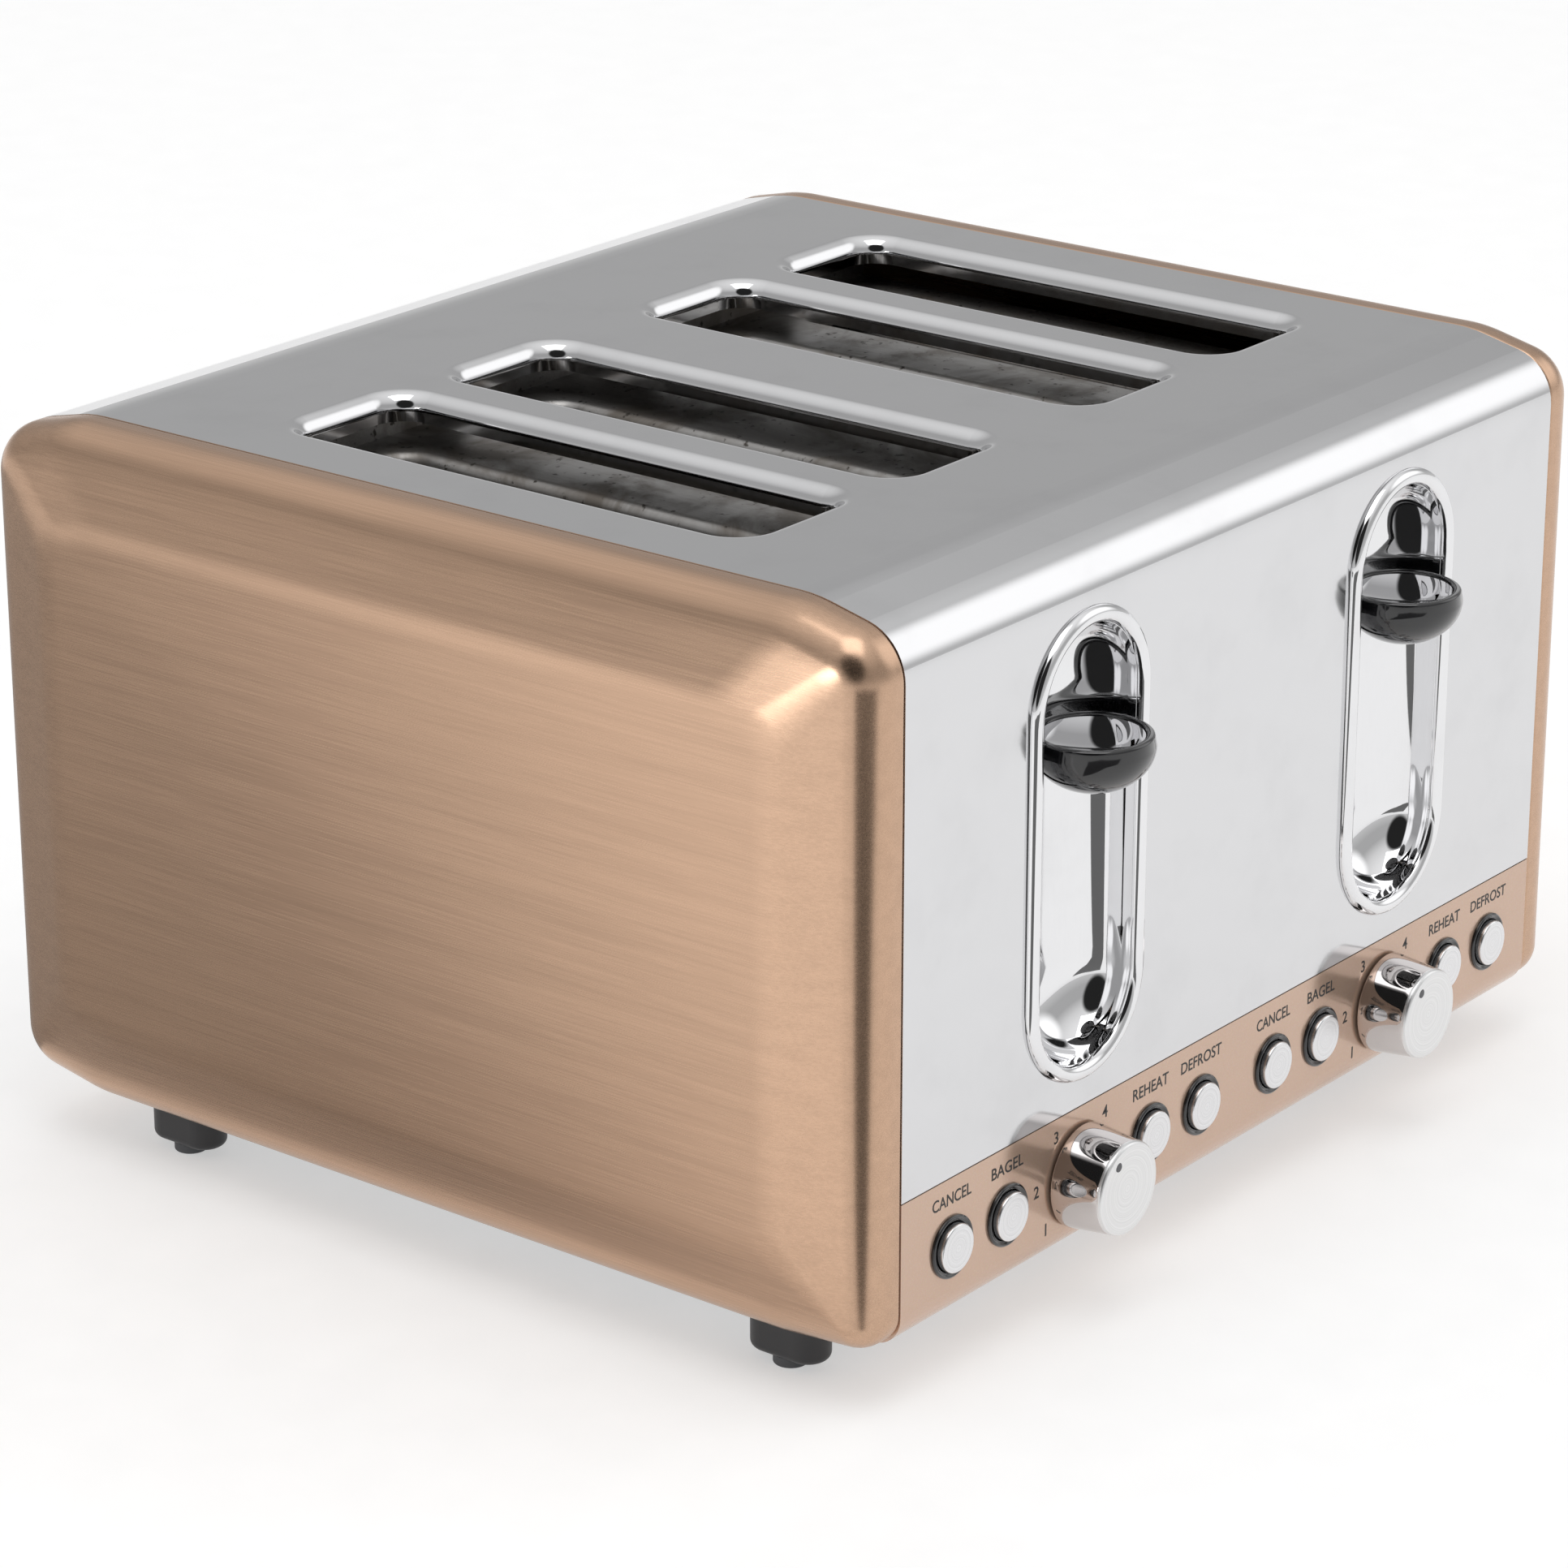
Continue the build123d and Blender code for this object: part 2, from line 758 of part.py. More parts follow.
def make_lever_channel(name, side):
    """Bright scooped channel with a raised rim, slit at one side of its back for the lever's arm."""
    inner_width = channel_width - 2 * channel_rim
    inner_height = channel_height - 2 * channel_rim
    outer = trough_solid(channel_wall)
    inner = trough_solid(0)
    slit_low = arm_low_z - lever_down - arm_slit_end_play
    slit_high = arm_low_z + arm_height + lever_up + arm_slit_end_play
    with BuildPart() as channel:
        extrude(stadium(0, channel_height, channel_width), amount=channel_rim_proud)
        front = channel.faces().sort_by(Axis.Y)[0]
        fillet(front.outer_wire().edges(), channel_rim_outer_round)
        extrude(stadium(-channel_rim_proud, inner_height, inner_width),
                amount=-channel_rim_proud, mode=Mode.SUBTRACT)
        add(outer)
        add(inner, mode=Mode.SUBTRACT)
        front = channel.faces().sort_by(Axis.Y)[0]
        fillet(front.inner_wires()[0].edges(), channel_rim_inner_round)
        with BuildSketch(front_at(0)):
            with Locations((arm_shift, (slit_low + slit_high) / 2)):
                Rectangle(2 * arm_thickness, slit_high - slit_low)
        extrude(amount=-2 * channel_depth, mode=Mode.SUBTRACT)
    with BuildPart() as placed:
        with Locations((side * control_x, 0, 0)):
            add(channel.part)
    save(placed, name)


def make_lever_knob(name, side):
    """Glossy bowl-shaped knob with a flat top, recessed for its bright cap."""
    x = side * control_x
    bowl_z = knob_top_z - knob_shoulder
    recess_z = knob_top_z - cap_recess - cap_thickness
    rim_flat = knob_rim_radius - knob_edge
    with BuildPart() as knob:
        with BuildSketch(Plane.XZ.offset(-knob_y)):
            with BuildLine():
                Bezier(
                    (x, bowl_z - knob_bowl_depth),
                    (x + round_handle * knob_radius, bowl_z - knob_bowl_depth),
                    (x + knob_radius, bowl_z - round_handle * knob_bowl_depth),
                    (x + knob_radius, bowl_z),
                )
                Line((x + knob_radius, bowl_z), (x + knob_rim_radius, knob_top_z - knob_edge))
                Line((x + knob_rim_radius, knob_top_z - knob_edge), (x + rim_flat, knob_top_z))
                Line((x + rim_flat, knob_top_z), (x, knob_top_z))
                Line((x, knob_top_z), (x, bowl_z - knob_bowl_depth))
            make_face()
        revolve(axis=Axis((x, knob_y, 0), (0, 0, 1)))
        with Locations((x, knob_y, recess_z)):
            Cylinder(
                cap_radius, 2 * cap_thickness,
                align=(Align.CENTER, Align.CENTER, Align.MIN), mode=Mode.SUBTRACT,
            )
        with Locations((x + arm_shift, knob_y + arm_start, arm_low_z)):
            Box(
                arm_thickness, knob_radius, arm_height,
                align=(Align.CENTER, Align.MIN, Align.MIN), mode=Mode.SUBTRACT,
            )
    save(knob, name)


def make_lever_cap(name, side):
    """Bright disc set into the top of the knob."""
    with BuildPart() as cap:
        with Locations((side * control_x, knob_y, knob_top_z - cap_recess - cap_thickness)):
            Cylinder(cap_radius, cap_thickness, align=(Align.CENTER, Align.CENTER, Align.MIN))
        fillet(cap.edges().group_by(Axis.Z)[-1], cap_round)
    save(cap, name)


def make_carriage(name, side):
    """Lever carriage: a plate with four bushes on the rods, the lever's arm and the armature."""
    x = side * control_x
    bush_low = carriage_bottom + bush_length / 2
    bush_high = carriage_top - bush_length / 2
    bush_places = [(x + way * rod_spread, rod_y, z) for way in (-1, 1) for z in (bush_low, bush_high)]
    arm_front_y = knob_y + arm_start
    with BuildPart() as carriage:
        with Locations((x, carriage_front_y, carriage_bottom)):
            Box(
                carriage_width, carriage_thickness, carriage_top - carriage_bottom,
                align=(Align.CENTER, Align.MIN, Align.MIN),
            )
        with Locations(*bush_places):
            Cylinder(bush_radius, bush_length)
        with Locations((x + arm_shift, arm_front_y, arm_low_z)):
            Box(
                arm_thickness, carriage_back_y - arm_front_y, arm_height,
                align=(Align.CENTER, Align.MIN, Align.MIN),
            )
        with Locations((x, front_y + shelf_front_setback, carriage_bottom)):
            Box(
                armature_width, carriage_back_y - front_y - shelf_front_setback, armature_thickness,
                align=(Align.CENTER, Align.MIN, Align.MIN),
            )
        with Locations(*bush_places):
            Cylinder(rod_radius + running_gap, 2 * bush_length, mode=Mode.SUBTRACT)
    save(carriage, name)


def make_bread_rack(name, side):
    """Pair of toothed bars, one along the foot of each slot, carried by the carriage."""
    reach = chamber_rear_y - rack_end_gap - carriage_back_y
    comb_pitch = (frame_slot_length - 4 * frame_slot_corner) / (rack_combs - 1)
    xs = [side * chamber_offset + step for step in (-slot_offset, slot_offset)]
    with BuildPart() as rack:
        with Locations(*[(x, carriage_back_y, carriage_bottom) for x in xs]):
            Box(rack_thickness, reach, rack_height, align=(Align.CENTER, Align.MIN, Align.MIN))
        with Locations(*[(x, slot_y, carriage_bottom + rack_height) for x in xs]):
            with GridLocations(1, comb_pitch, 1, rack_combs):
                Box(
                    2 * rack_comb_half, rack_comb_height, rack_comb_height,
                    align=(Align.CENTER, Align.CENTER, Align.MAX),
                )
    save(rack, name)


def make_guide_rods(name, side):
    """Two upright rods that the carriage slides on."""
    low = shelf_bottom - rod_overrun
    high = shelf_top + shelf_thickness + rod_overrun
    with BuildPart() as rods:
        with Locations(*[(side * control_x + way * rod_spread, rod_y, low) for way in (-1, 1)]):
            Cylinder(rod_radius, high - low, align=(Align.CENTER, Align.CENTER, Align.MIN))
    save(rods, name)


def make_lift_spring(name, side):
    """Coil spring that hangs the carriage from the upper shelf."""
    low = carriage_top + spring_wire
    high = shelf_top - spring_wire
    foot = (side * control_x, rod_y + spring_radius, low)
    with BuildPart() as spring:
        with BuildLine() as coil:
            Helix(spring_pitch, high - low, spring_radius, center=foot)
        with BuildSketch(Plane(origin=coil.line @ 0, z_dir=coil.line % 0)):
            Circle(spring_wire)
        sweep(path=coil.line)
    save(spring, name)


def make_mechanism_bracket(name, side):
    """Upright bracket with two shelves that hold the rods, the magnet and the spring."""
    x = side * control_x
    depth = shelf_rear_y - front_y - shelf_front_setback
    with BuildPart() as bracket:
        with Locations((x, shelf_rear_y, floor_z)):
            Box(
                2 * bracket_half_width, shelf_thickness, shelf_top + shelf_thickness - floor_z,
                align=(Align.CENTER, Align.MAX, Align.MIN),
            )
        with Locations((x, shelf_rear_y, shelf_bottom), (x, shelf_rear_y, shelf_top)):
            Box(
                2 * shelf_half_width, depth, shelf_thickness,
                align=(Align.CENTER, Align.MAX, Align.MIN),
            )
        with Locations(*[(x + way * rod_spread, rod_y, shelf_bottom) for way in (-1, 1)]):
            Cylinder(rod_radius, 4 * shelf_top, mode=Mode.SUBTRACT)
    save(bracket, name)


def make_electromagnet(name, side):
    """Hold-down magnet on the lower shelf: a U-shaped core with a coil on each leg."""
    low = shelf_bottom + shelf_thickness
    high = carriage_bottom - lever_down - magnet_gap
    mid_y = front_y + shelf_front_setback + magnet_depth / 2
    with BuildPart() as magnet:
        with Locations((side * control_x, mid_y, low)):
            Box(
                magnet_core_width, magnet_depth, high - low,
                align=(Align.CENTER, Align.CENTER, Align.MIN),
            )
            with Locations((0, 0, magnet_yoke)):
                Box(
                    magnet_leg_gap, 2 * magnet_depth, high - low,
                    align=(Align.CENTER, Align.CENTER, Align.MIN), mode=Mode.SUBTRACT,
                )
            with Locations((0, 0, magnet_yoke)):
                Cylinder(
                    magnet_coil_radius, (high - low) * magnet_coil_share,
                    align=(Align.CENTER, Align.CENTER, Align.MIN),
                )
    save(magnet, name)


# ---------------------------------------------------------------- controls
def make_button(name, x):
    """Button: a cap, a flange that the ring holds back, and a stem towards its switch."""
    stem_end = board_setback - switch_width / 2 - button_travel - button_gap
    flange_start = button_sleeve_length + button_gap
    with BuildPart() as button:
        with BuildSketch(front_at(-button_proud)):
            with Locations((x, control_z)):
                Circle(button_radius)
        extrude(amount=-(button_proud + flange_start + button_flange_thickness))
        fillet(button.edges().group_by(Axis.Y)[0], button_round)
        with BuildSketch(front_at(flange_start)):
            with Locations((x, control_z)):
                Circle(button_flange_radius)
        extrude(amount=-button_flange_thickness)
        with BuildSketch(front_at(flange_start)):
            with Locations((x, control_z)):
                Circle(button_stem_radius)
        extrude(amount=-(stem_end - flange_start))
    save(button, name)


def make_button_rings():
    """Eight dark glossy rings that line the button holes, one round each button."""
    with BuildPart() as rings:
        with BuildSketch(front_plane):
            with Locations(*button_places()):
                Circle(button_ring_radius)
        extrude(amount=button_ring_proud)
        fillet(rings.edges().group_by(Axis.Y)[0], button_ring_round)
        with BuildSketch(front_plane):
            with Locations(*button_places()):
                Circle(button_sleeve_radius)
        extrude(amount=-button_sleeve_length)
        with BuildSketch(front_at(-2 * button_ring_proud)):
            with Locations(*button_places()):
                Circle(button_radius + button_gap)
        extrude(amount=-4 * button_sleeve_length, mode=Mode.SUBTRACT)
    save(rings, "button_rings")


def make_dial(name, side):
    """Browning dial: a tapered bright body with a dished face, on a shaft into its control."""
    x = side * control_x
    base_y = front_y - dial_clearance
    face_y = front_y - dial_height
    shaft_end = front_y + board_setback - 2 * sheet
    with BuildPart() as dial:
        with BuildSketch(Plane.XY.offset(control_z)):
            with BuildLine():
                FilletPolyline(
                    (x, base_y),
                    (x + dial_base_radius, base_y),
                    (x + dial_face_radius, face_y),
                    (x + dial_dish_radius, face_y),
                    (x + dial_dish_radius - dial_dish_depth, face_y + dial_dish_depth),
                    (x, face_y + dial_dish_depth),
                    radius=[0, dial_dish_depth, dial_rim_round, 0, 0, 0], close=True,
                )
            make_face()
        revolve(axis=Axis((x, 0, control_z), (0, 1, 0)))
        with BuildSketch(Plane.XZ.offset(-base_y)):
            with Locations((x, control_z)):
                Circle(dial_shaft_radius)
        extrude(amount=-(shaft_end - base_y))
    save(dial, name)


def make_control_board(name, side):
    """Circuit board behind the control strip, with the dial's control and four switches."""
    x = side * control_x
    with BuildPart() as board:
        with Locations((x, front_y + board_setback, control_z)):
            Box(
                2 * board_half_width, board_thickness, board_height,
                align=(Align.CENTER, Align.MIN, Align.CENTER),
            )
        with Locations(*[(x + step, front_y + board_setback, control_z) for step in button_offsets]):
            Box(
                switch_width, switch_width / 2, switch_width,
                align=(Align.CENTER, Align.MAX, Align.CENTER),
            )
        with BuildSketch(front_at(board_setback)):
            with Locations((x, control_z)):
                Circle(pot_radius)
        extrude(amount=pot_depth)
        with BuildSketch(front_at(board_setback - pot_depth)):
            with Locations((x, control_z)):
                Circle(dial_shaft_radius + running_gap)
        extrude(amount=-(pot_depth - sheet), mode=Mode.SUBTRACT)
    save(board, name)


# ---------------------------------------------------------------- rear, feet and fasteners
def make_crumb_tray(name, side):
    """Shallow tray under a pair of slots that pulls out to the rear by its folded handle."""
    mid_x = side * (tray_inner_x + tray_outer_x) / 2
    width = tray_outer_x - tray_inner_x
    start_y = chamber_front_y + tray_front_gap
    length = rear_y - start_y
    with BuildPart() as tray:
        with Locations((mid_x, start_y, tray_floor_z)):
            Box(width, length, tray_wall_height, align=(Align.CENTER, Align.MIN, Align.MIN))
        with Locations((mid_x, start_y + sheet, tray_floor_z + sheet)):
            Box(
                width - 2 * sheet, length - 2 * sheet, tray_wall_height,
                align=(Align.CENTER, Align.MIN, Align.MIN), mode=Mode.SUBTRACT,
            )
        with Locations((mid_x, rear_y + seam_gap, tray_floor_z + tray_wall_height / 2)):
            Box(
                width + 2 * tray_front_overlap, sheet, tray_handle_height,
                align=(Align.CENTER, Align.MIN, Align.CENTER),
            )
            Box(
                width - 4 * sheet, 2 * seam_gap, tray_wall_height - sheet,
                align=(Align.CENTER, Align.MAX, Align.CENTER),
            )
            with Locations((0, sheet, tray_handle_height / 2)):
                Box(
                    2 * tray_handle_half, tray_handle_reach - seam_gap - sheet, 2 * sheet,
                    align=(Align.CENTER, Align.MIN, Align.MAX),
                )
        fillet(tray.edges().filter_by(Axis.Z).group_by(Axis.Y)[-1], tray_front_round)
    save(tray, name)


def make_cord_gland():
    """Moulded bush in the rear strip that the mains lead would pass through."""
    z = base_z + gland_rise
    with BuildPart() as gland:
        with BuildSketch(rear_plane):
            with Locations((0, z)):
                Circle(gland_flange_radius)
        extrude(amount=-gland_flange)
        with BuildSketch(rear_plane):
            with Locations((0, z)):
                Circle(gland_radius)
        extrude(amount=-gland_nose)
        fillet(gland.edges().group_by(Axis.Y)[-1], sheet)
        with BuildSketch(rear_plane):
            with Locations((0, z)):
                Circle(gland_radius)
        extrude(amount=gland_tail)
        with BuildSketch(Plane.XZ.offset(-(rear_y + 2 * gland_nose))):
            with Locations((0, z)):
                Circle(gland_bore_radius)
        extrude(amount=4 * gland_nose + gland_tail, mode=Mode.SUBTRACT)
    save(gland, "cord_gland")


def make_terminal_block():
    """Block on the floor behind the chamber where the mains wires would be clamped."""
    y = (chamber_rear_y + rear_y - gland_tail) / 2
    with BuildPart() as block:
        with Locations((0, y, floor_z)):
            Box(
                terminal_width, terminal_depth, terminal_height,
                align=(Align.CENTER, Align.CENTER, Align.MIN),
            )
        with Locations((0, y, floor_z + terminal_height)):
            with GridLocations(terminal_pitch, 1, 2, 1):
                Cylinder(screw_radius, terminal_height, mode=Mode.SUBTRACT)
    save(block, "terminal_block")


def foot_places():
    """Middles of the four feet."""
    ys = (front_y + foot_front, rear_y - foot_rear)
    return [(side * foot_x, y) for side in (-1, 1) for y in ys]


def make_feet():
    """Four moulded oval feet under the base's corners."""
    with BuildPart() as feet:
        with BuildSketch(Plane.XY.offset(pad_height)):
            with Locations(*foot_places()):
                SlotOverall(foot_length, foot_width, rotation=90)
        extrude(amount=foot_height)
        fillet(feet.edges().group_by(Axis.Z)[0], foot_round)
    save(feet, "feet")


def make_foot_pads():
    """Four soft round pads under the feet."""
    with BuildPart() as pads:
        with BuildSketch(Plane.XY):
            with Locations(*foot_places()):
                Circle(pad_radius)
        extrude(amount=pad_height)
        fillet(pads.edges().group_by(Axis.Z)[0], pad_round)
    save(pads, "foot_pads")


def make_body_screws():
    """Six screws up through the base into the side panels' lips, and two through the rear strip."""
    base_places = base_screw_places()
    with BuildPart() as screws:
        with BuildSketch(Plane.XY.offset(base_z)):
            with Locations(*base_places):
                Circle(screw_head_radius)
        extrude(amount=-screw_head_height)
        with BuildSketch(Plane.XY.offset(base_z)):
            with Locations(*base_places):
                Circle(screw_radius)
        extrude(amount=screw_reach)
        with BuildSketch(rear_plane):
            with Locations(*rear_screw_places()):
                Circle(screw_head_radius)
        extrude(amount=-screw_head_height)
        with BuildSketch(rear_plane):
            with Locations(*rear_screw_places()):
                Circle(screw_radius)
        extrude(amount=screw_reach)
    save(screws, "body_screws")


# ---------------------------------------------------------------- build everything
os.makedirs("parts", exist_ok=True)
make_wrap_cover()
make_control_panel()
make_rear_panel()
make_base_plate()
make_slot_frame()
make_front_bulkhead()
make_rear_bulkhead()
make_centre_reflector()
make_heater_boards()
make_button_rings()
make_cord_gland()
make_terminal_block()
make_feet()
make_foot_pads()
make_body_screws()
for side_name, side_sign in sides.items():
    make_side_panel(f"{side_name}_side_panel", side_sign)
    make_side_reflector(f"{side_name}_reflector", side_sign)
    make_guides(f"{side_name}_guides_a", side_sign, -1)
    make_guides(f"{side_name}_guides_b", side_sign, 1)
    make_lever_channel(f"{side_name}_lever_channel", side_sign)
    make_lever_knob(f"{side_name}_lever_knob", side_sign)
    make_lever_cap(f"{side_name}_lever_cap", side_sign)
    make_carriage(f"{side_name}_carriage", side_sign)
    make_bread_rack(f"{side_name}_bread_rack", side_sign)
    make_guide_rods(f"{side_name}_guide_rods", side_sign)
    make_lift_spring(f"{side_name}_lift_spring", side_sign)
    make_mechanism_bracket(f"{side_name}_mechanism_bracket", side_sign)
    make_electromagnet(f"{side_name}_electromagnet", side_sign)
    make_dial(f"{side_name}_dial", side_sign)
    make_control_board(f"{side_name}_control_board", side_sign)
    make_crumb_tray(f"{side_name}_crumb_tray", side_sign)
    for button_name, button_step in zip(button_names, button_offsets):
        make_button(f"{side_name}_{button_name}_button", side_sign * control_x + button_step)
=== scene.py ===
import json
import logging
import math
from dataclasses import dataclass, field
from enum import Enum
from itertools import product
from typing import Any, Mapping, Optional, Sequence, Union

import bmesh
import bpy
import numpy as np
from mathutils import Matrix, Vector


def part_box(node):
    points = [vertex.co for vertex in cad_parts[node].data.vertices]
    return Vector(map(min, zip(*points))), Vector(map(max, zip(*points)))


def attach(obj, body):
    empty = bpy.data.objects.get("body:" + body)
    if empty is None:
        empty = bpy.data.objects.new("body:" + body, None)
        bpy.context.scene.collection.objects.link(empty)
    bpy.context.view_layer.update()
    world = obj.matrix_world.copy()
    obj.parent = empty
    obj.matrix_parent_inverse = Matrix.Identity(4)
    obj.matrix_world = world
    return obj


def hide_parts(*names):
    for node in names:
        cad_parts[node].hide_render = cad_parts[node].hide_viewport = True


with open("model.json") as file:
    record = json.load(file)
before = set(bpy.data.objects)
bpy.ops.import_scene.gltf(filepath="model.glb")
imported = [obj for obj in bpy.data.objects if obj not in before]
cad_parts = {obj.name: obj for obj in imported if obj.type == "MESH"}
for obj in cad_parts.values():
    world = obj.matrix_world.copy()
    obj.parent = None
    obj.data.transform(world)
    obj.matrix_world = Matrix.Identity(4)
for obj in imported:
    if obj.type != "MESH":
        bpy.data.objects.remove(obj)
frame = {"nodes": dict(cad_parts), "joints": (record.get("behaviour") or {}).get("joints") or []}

LOG = logging.getLogger("toaster")
MM = 0.001
SIDES = {"left": -1, "right": 1}
HOUSING = "housing"


class Slot(Enum):
    """The record's material slots."""

    POLISHED = "polished_steel"
    PANEL = "copper_panel"
    STRIP = "copper_strip"
    CHROME = "bright_chrome"
    SATIN = "satin_cap"
    GLOSS = "black_gloss"
    MOULDING = "black_moulding"
    PAD = "soft_pad"
    INNER = "inner_steel"
    GALVANISED = "galvanised_base"
    MICA = "mica"
    SPRING = "spring_steel"
    IRON = "magnet_iron"
    BOARD = "circuit_board"


# ------------------------------------------------------------------ shader maths
Operand = Union["Wire", float]


class Wire:
    """The output of a shader node. Arithmetic on wires adds Math nodes."""

    def __init__(self, graph: "Graph", socket: bpy.types.NodeSocket) -> None:
        """Keep an output socket and the graph that new nodes are added to."""
        self.graph = graph
        self.socket = socket

    def math(self, operation: str, left: Operand, right: Operand) -> "Wire":
        """Join two operands by a Math node."""
        return self.graph.node("ShaderNodeMath", {"operation": operation}, {0: left, 1: right})

    def __add__(self, other: Operand) -> "Wire":
        """Sum of this and another."""
        return self.math("ADD", self, other)

    __radd__ = __add__

    def __sub__(self, other: Operand) -> "Wire":
        """This less another."""
        return self.math("SUBTRACT", self, other)

    def __rsub__(self, other: Operand) -> "Wire":
        """Another less this."""
        return self.math("SUBTRACT", other, self)

    def __mul__(self, other: Operand) -> "Wire":
        """Product of this and another."""
        return self.math("MULTIPLY", self, other)

    __rmul__ = __mul__

    def __pow__(self, other: Operand) -> "Wire":
        """This raised to a power."""
        return self.math("POWER", self, other)


Setting = Any
Input = Union[Wire, float, Sequence[float]]
Colour = tuple[float, float, float]
Scale = Union[float, Sequence[float]]


class Graph:
    """The node tree of one material or of the sky."""

    def __init__(self, name: str, sky: bool = False) -> None:
        """Make an empty node material, or an empty sky.

        Args:
            name: Its name.
            sky: Make a world instead of a material.
        """
        self.block = bpy.data.worlds.new(name) if sky else bpy.data.materials.new(name)
        self.block.use_nodes = True
        self.tree = self.block.node_tree
        self.tree.nodes.clear()

    def node(
        self,
        kind: str,
        settings: Optional[Mapping[str, Setting]] = None,
        inputs: Optional[Mapping[Union[str, int], Input]] = None,
        output: Union[str, int] = 0,
    ) -> Wire:
        """Add a node, set its settings and then its sockets.

        Args:
            kind: The node's type.
            settings: Its settings by name. "stops" gives a ramp's places and colours.
            inputs: Values or wires by the name or the number of their socket.
            output: The output that is wanted.

        Returns:
            That output.
        """
        made = self.tree.nodes.new(kind)
        for name, value in (settings or {}).items():
            if name == "stops":
                for _ in range(len(value) - 2):
                    made.color_ramp.elements.new(0.5)
                for element, (place, colour) in zip(made.color_ramp.elements, value):
                    element.position = place
                    element.color = (*colour, 1.0)
            else:
                setattr(made, name, value)
        for key, value in (inputs or {}).items():
            socket = made.inputs[key]
            if isinstance(value, Wire):
                self.tree.links.new(value.socket, socket)
            elif socket.type == "RGBA" and len(value) == 3:
                socket.default_value = (*value, 1.0)
            else:
                socket.default_value = value
        return Wire(self, made.outputs[output])

    def place(self, scale: Scale, own: bool = False) -> Wire:
        """Coordinates for a pattern.

        Args:
            scale: Repeats per metre, alike or for each axis.
            own: Read the piece's own map instead of its place in the object.

        Returns:
            The scaled coordinates.
        """
        where = self.node("ShaderNodeTexCoord", output="UV" if own else "Object")
        scale = [scale] * 3 if isinstance(scale, float) else scale
        return self.node("ShaderNodeMapping", inputs={"Vector": where, "Scale": scale})

    def noise(
        self, scale: Union[Scale, Wire], detail: float = 2.0, roughness: float = 0.5,
        twist: float = 0.0,
    ) -> Wire:
        """Soft noise from 0 to 1.

        Args:
            scale: Cells per metre, alike or for each axis, or the coordinates themselves.
            detail: Octaves.
            roughness: How strong the finer octaves are.
            twist: Distortion.

        Returns:
            The noise.
        """
        where = scale if isinstance(scale, Wire) else self.place(scale)
        inputs = {
            "Vector": where, "Scale": 1.0, "Detail": detail, "Roughness": roughness,
            "Distortion": twist,
        }
        return self.node("ShaderNodeTexNoise", {"noise_dimensions": "3D"}, inputs)

    def cells(self, scale: float) -> Wire:
        """A random colour for each Voronoi cell, by cells per metre."""
        inputs = {"Vector": self.place(scale), "Scale": 1.0}
        return self.node("ShaderNodeTexVoronoi", inputs=inputs, output="Color")

    def grey(self, colour: Wire) -> Wire:
        """The brightness of a colour."""
        return self.node("ShaderNodeRGBToBW", inputs={0: colour})

    def between(self, low: float, high: float, value: Operand) -> Wire:
        """Map the range of a value from low to high onto 0 to 1, smoothly and clamped."""
        inputs = {"Value": value, "From Min": low, "From Max": high}
        return self.node("ShaderNodeMapRange", {"interpolation_type": "SMOOTHSTEP"}, inputs)

    def along(self, where: Wire, direction: Sequence[float]) -> Wire:
        """The dot product of a place, or a direction, and a direction."""
        inputs = {0: where, 1: direction}
        return self.node("ShaderNodeVectorMath", {"operation": "DOT_PRODUCT"}, inputs, "Value")

    def mix(self, factor: Operand, first: Input, second: Input) -> Wire:
        """Mix two colours: factor 0 gives the first and 1 the second."""
        inputs = {0: factor, 6: first, 7: second}
        return self.node("ShaderNodeMix", {"data_type": "RGBA"}, inputs, 2)

    def relief(self, height: Wire, distance: float, strength: float = 1.0) -> Wire:
        """Normals of a fine relief, whose height from 0 to 1 stands for a distance in metres."""
        inputs = {"Strength": strength, "Distance": distance, "Height": height}
        return self.node("ShaderNodeBump", inputs=inputs)

    def surface(self, **sockets: Input) -> bpy.types.Material:
        """Finish the material with a principled shader.

        Args:
            sockets: The shader's sockets, with spaces written as underlines.

        Returns:
            The material.
        """
        named = {name.replace("_", " "): value for name, value in sockets.items()}
        shader = self.node("ShaderNodeBsdfPrincipled", inputs=named)
        output = self.tree.nodes.new("ShaderNodeOutputMaterial")
        self.tree.links.new(shader.socket, output.inputs["Surface"])
        return self.block


# ------------------------------------------------------------------ finishes
@dataclass(frozen=True)
class Finish:
    """A surface finish. Each kind says how its material is made."""

    name: str
    colour: Colour
    roughness: float = 0.3

    def build(self, graph: Graph) -> bpy.types.Material:
        """Make the nodes in an empty graph and return its material."""
        raise NotImplementedError

    def material(self) -> bpy.types.Material:
        """The material, made the first time that it is asked for."""
        found = bpy.data.materials.get(f"look_{self.name}")
        return found or self.build(Graph(f"look_{self.name}"))


def shade(colour: Colour, factor: float) -> Colour:
    """A colour with each part multiplied by a factor."""
    return tuple(min(1.0, part * factor) for part in colour)


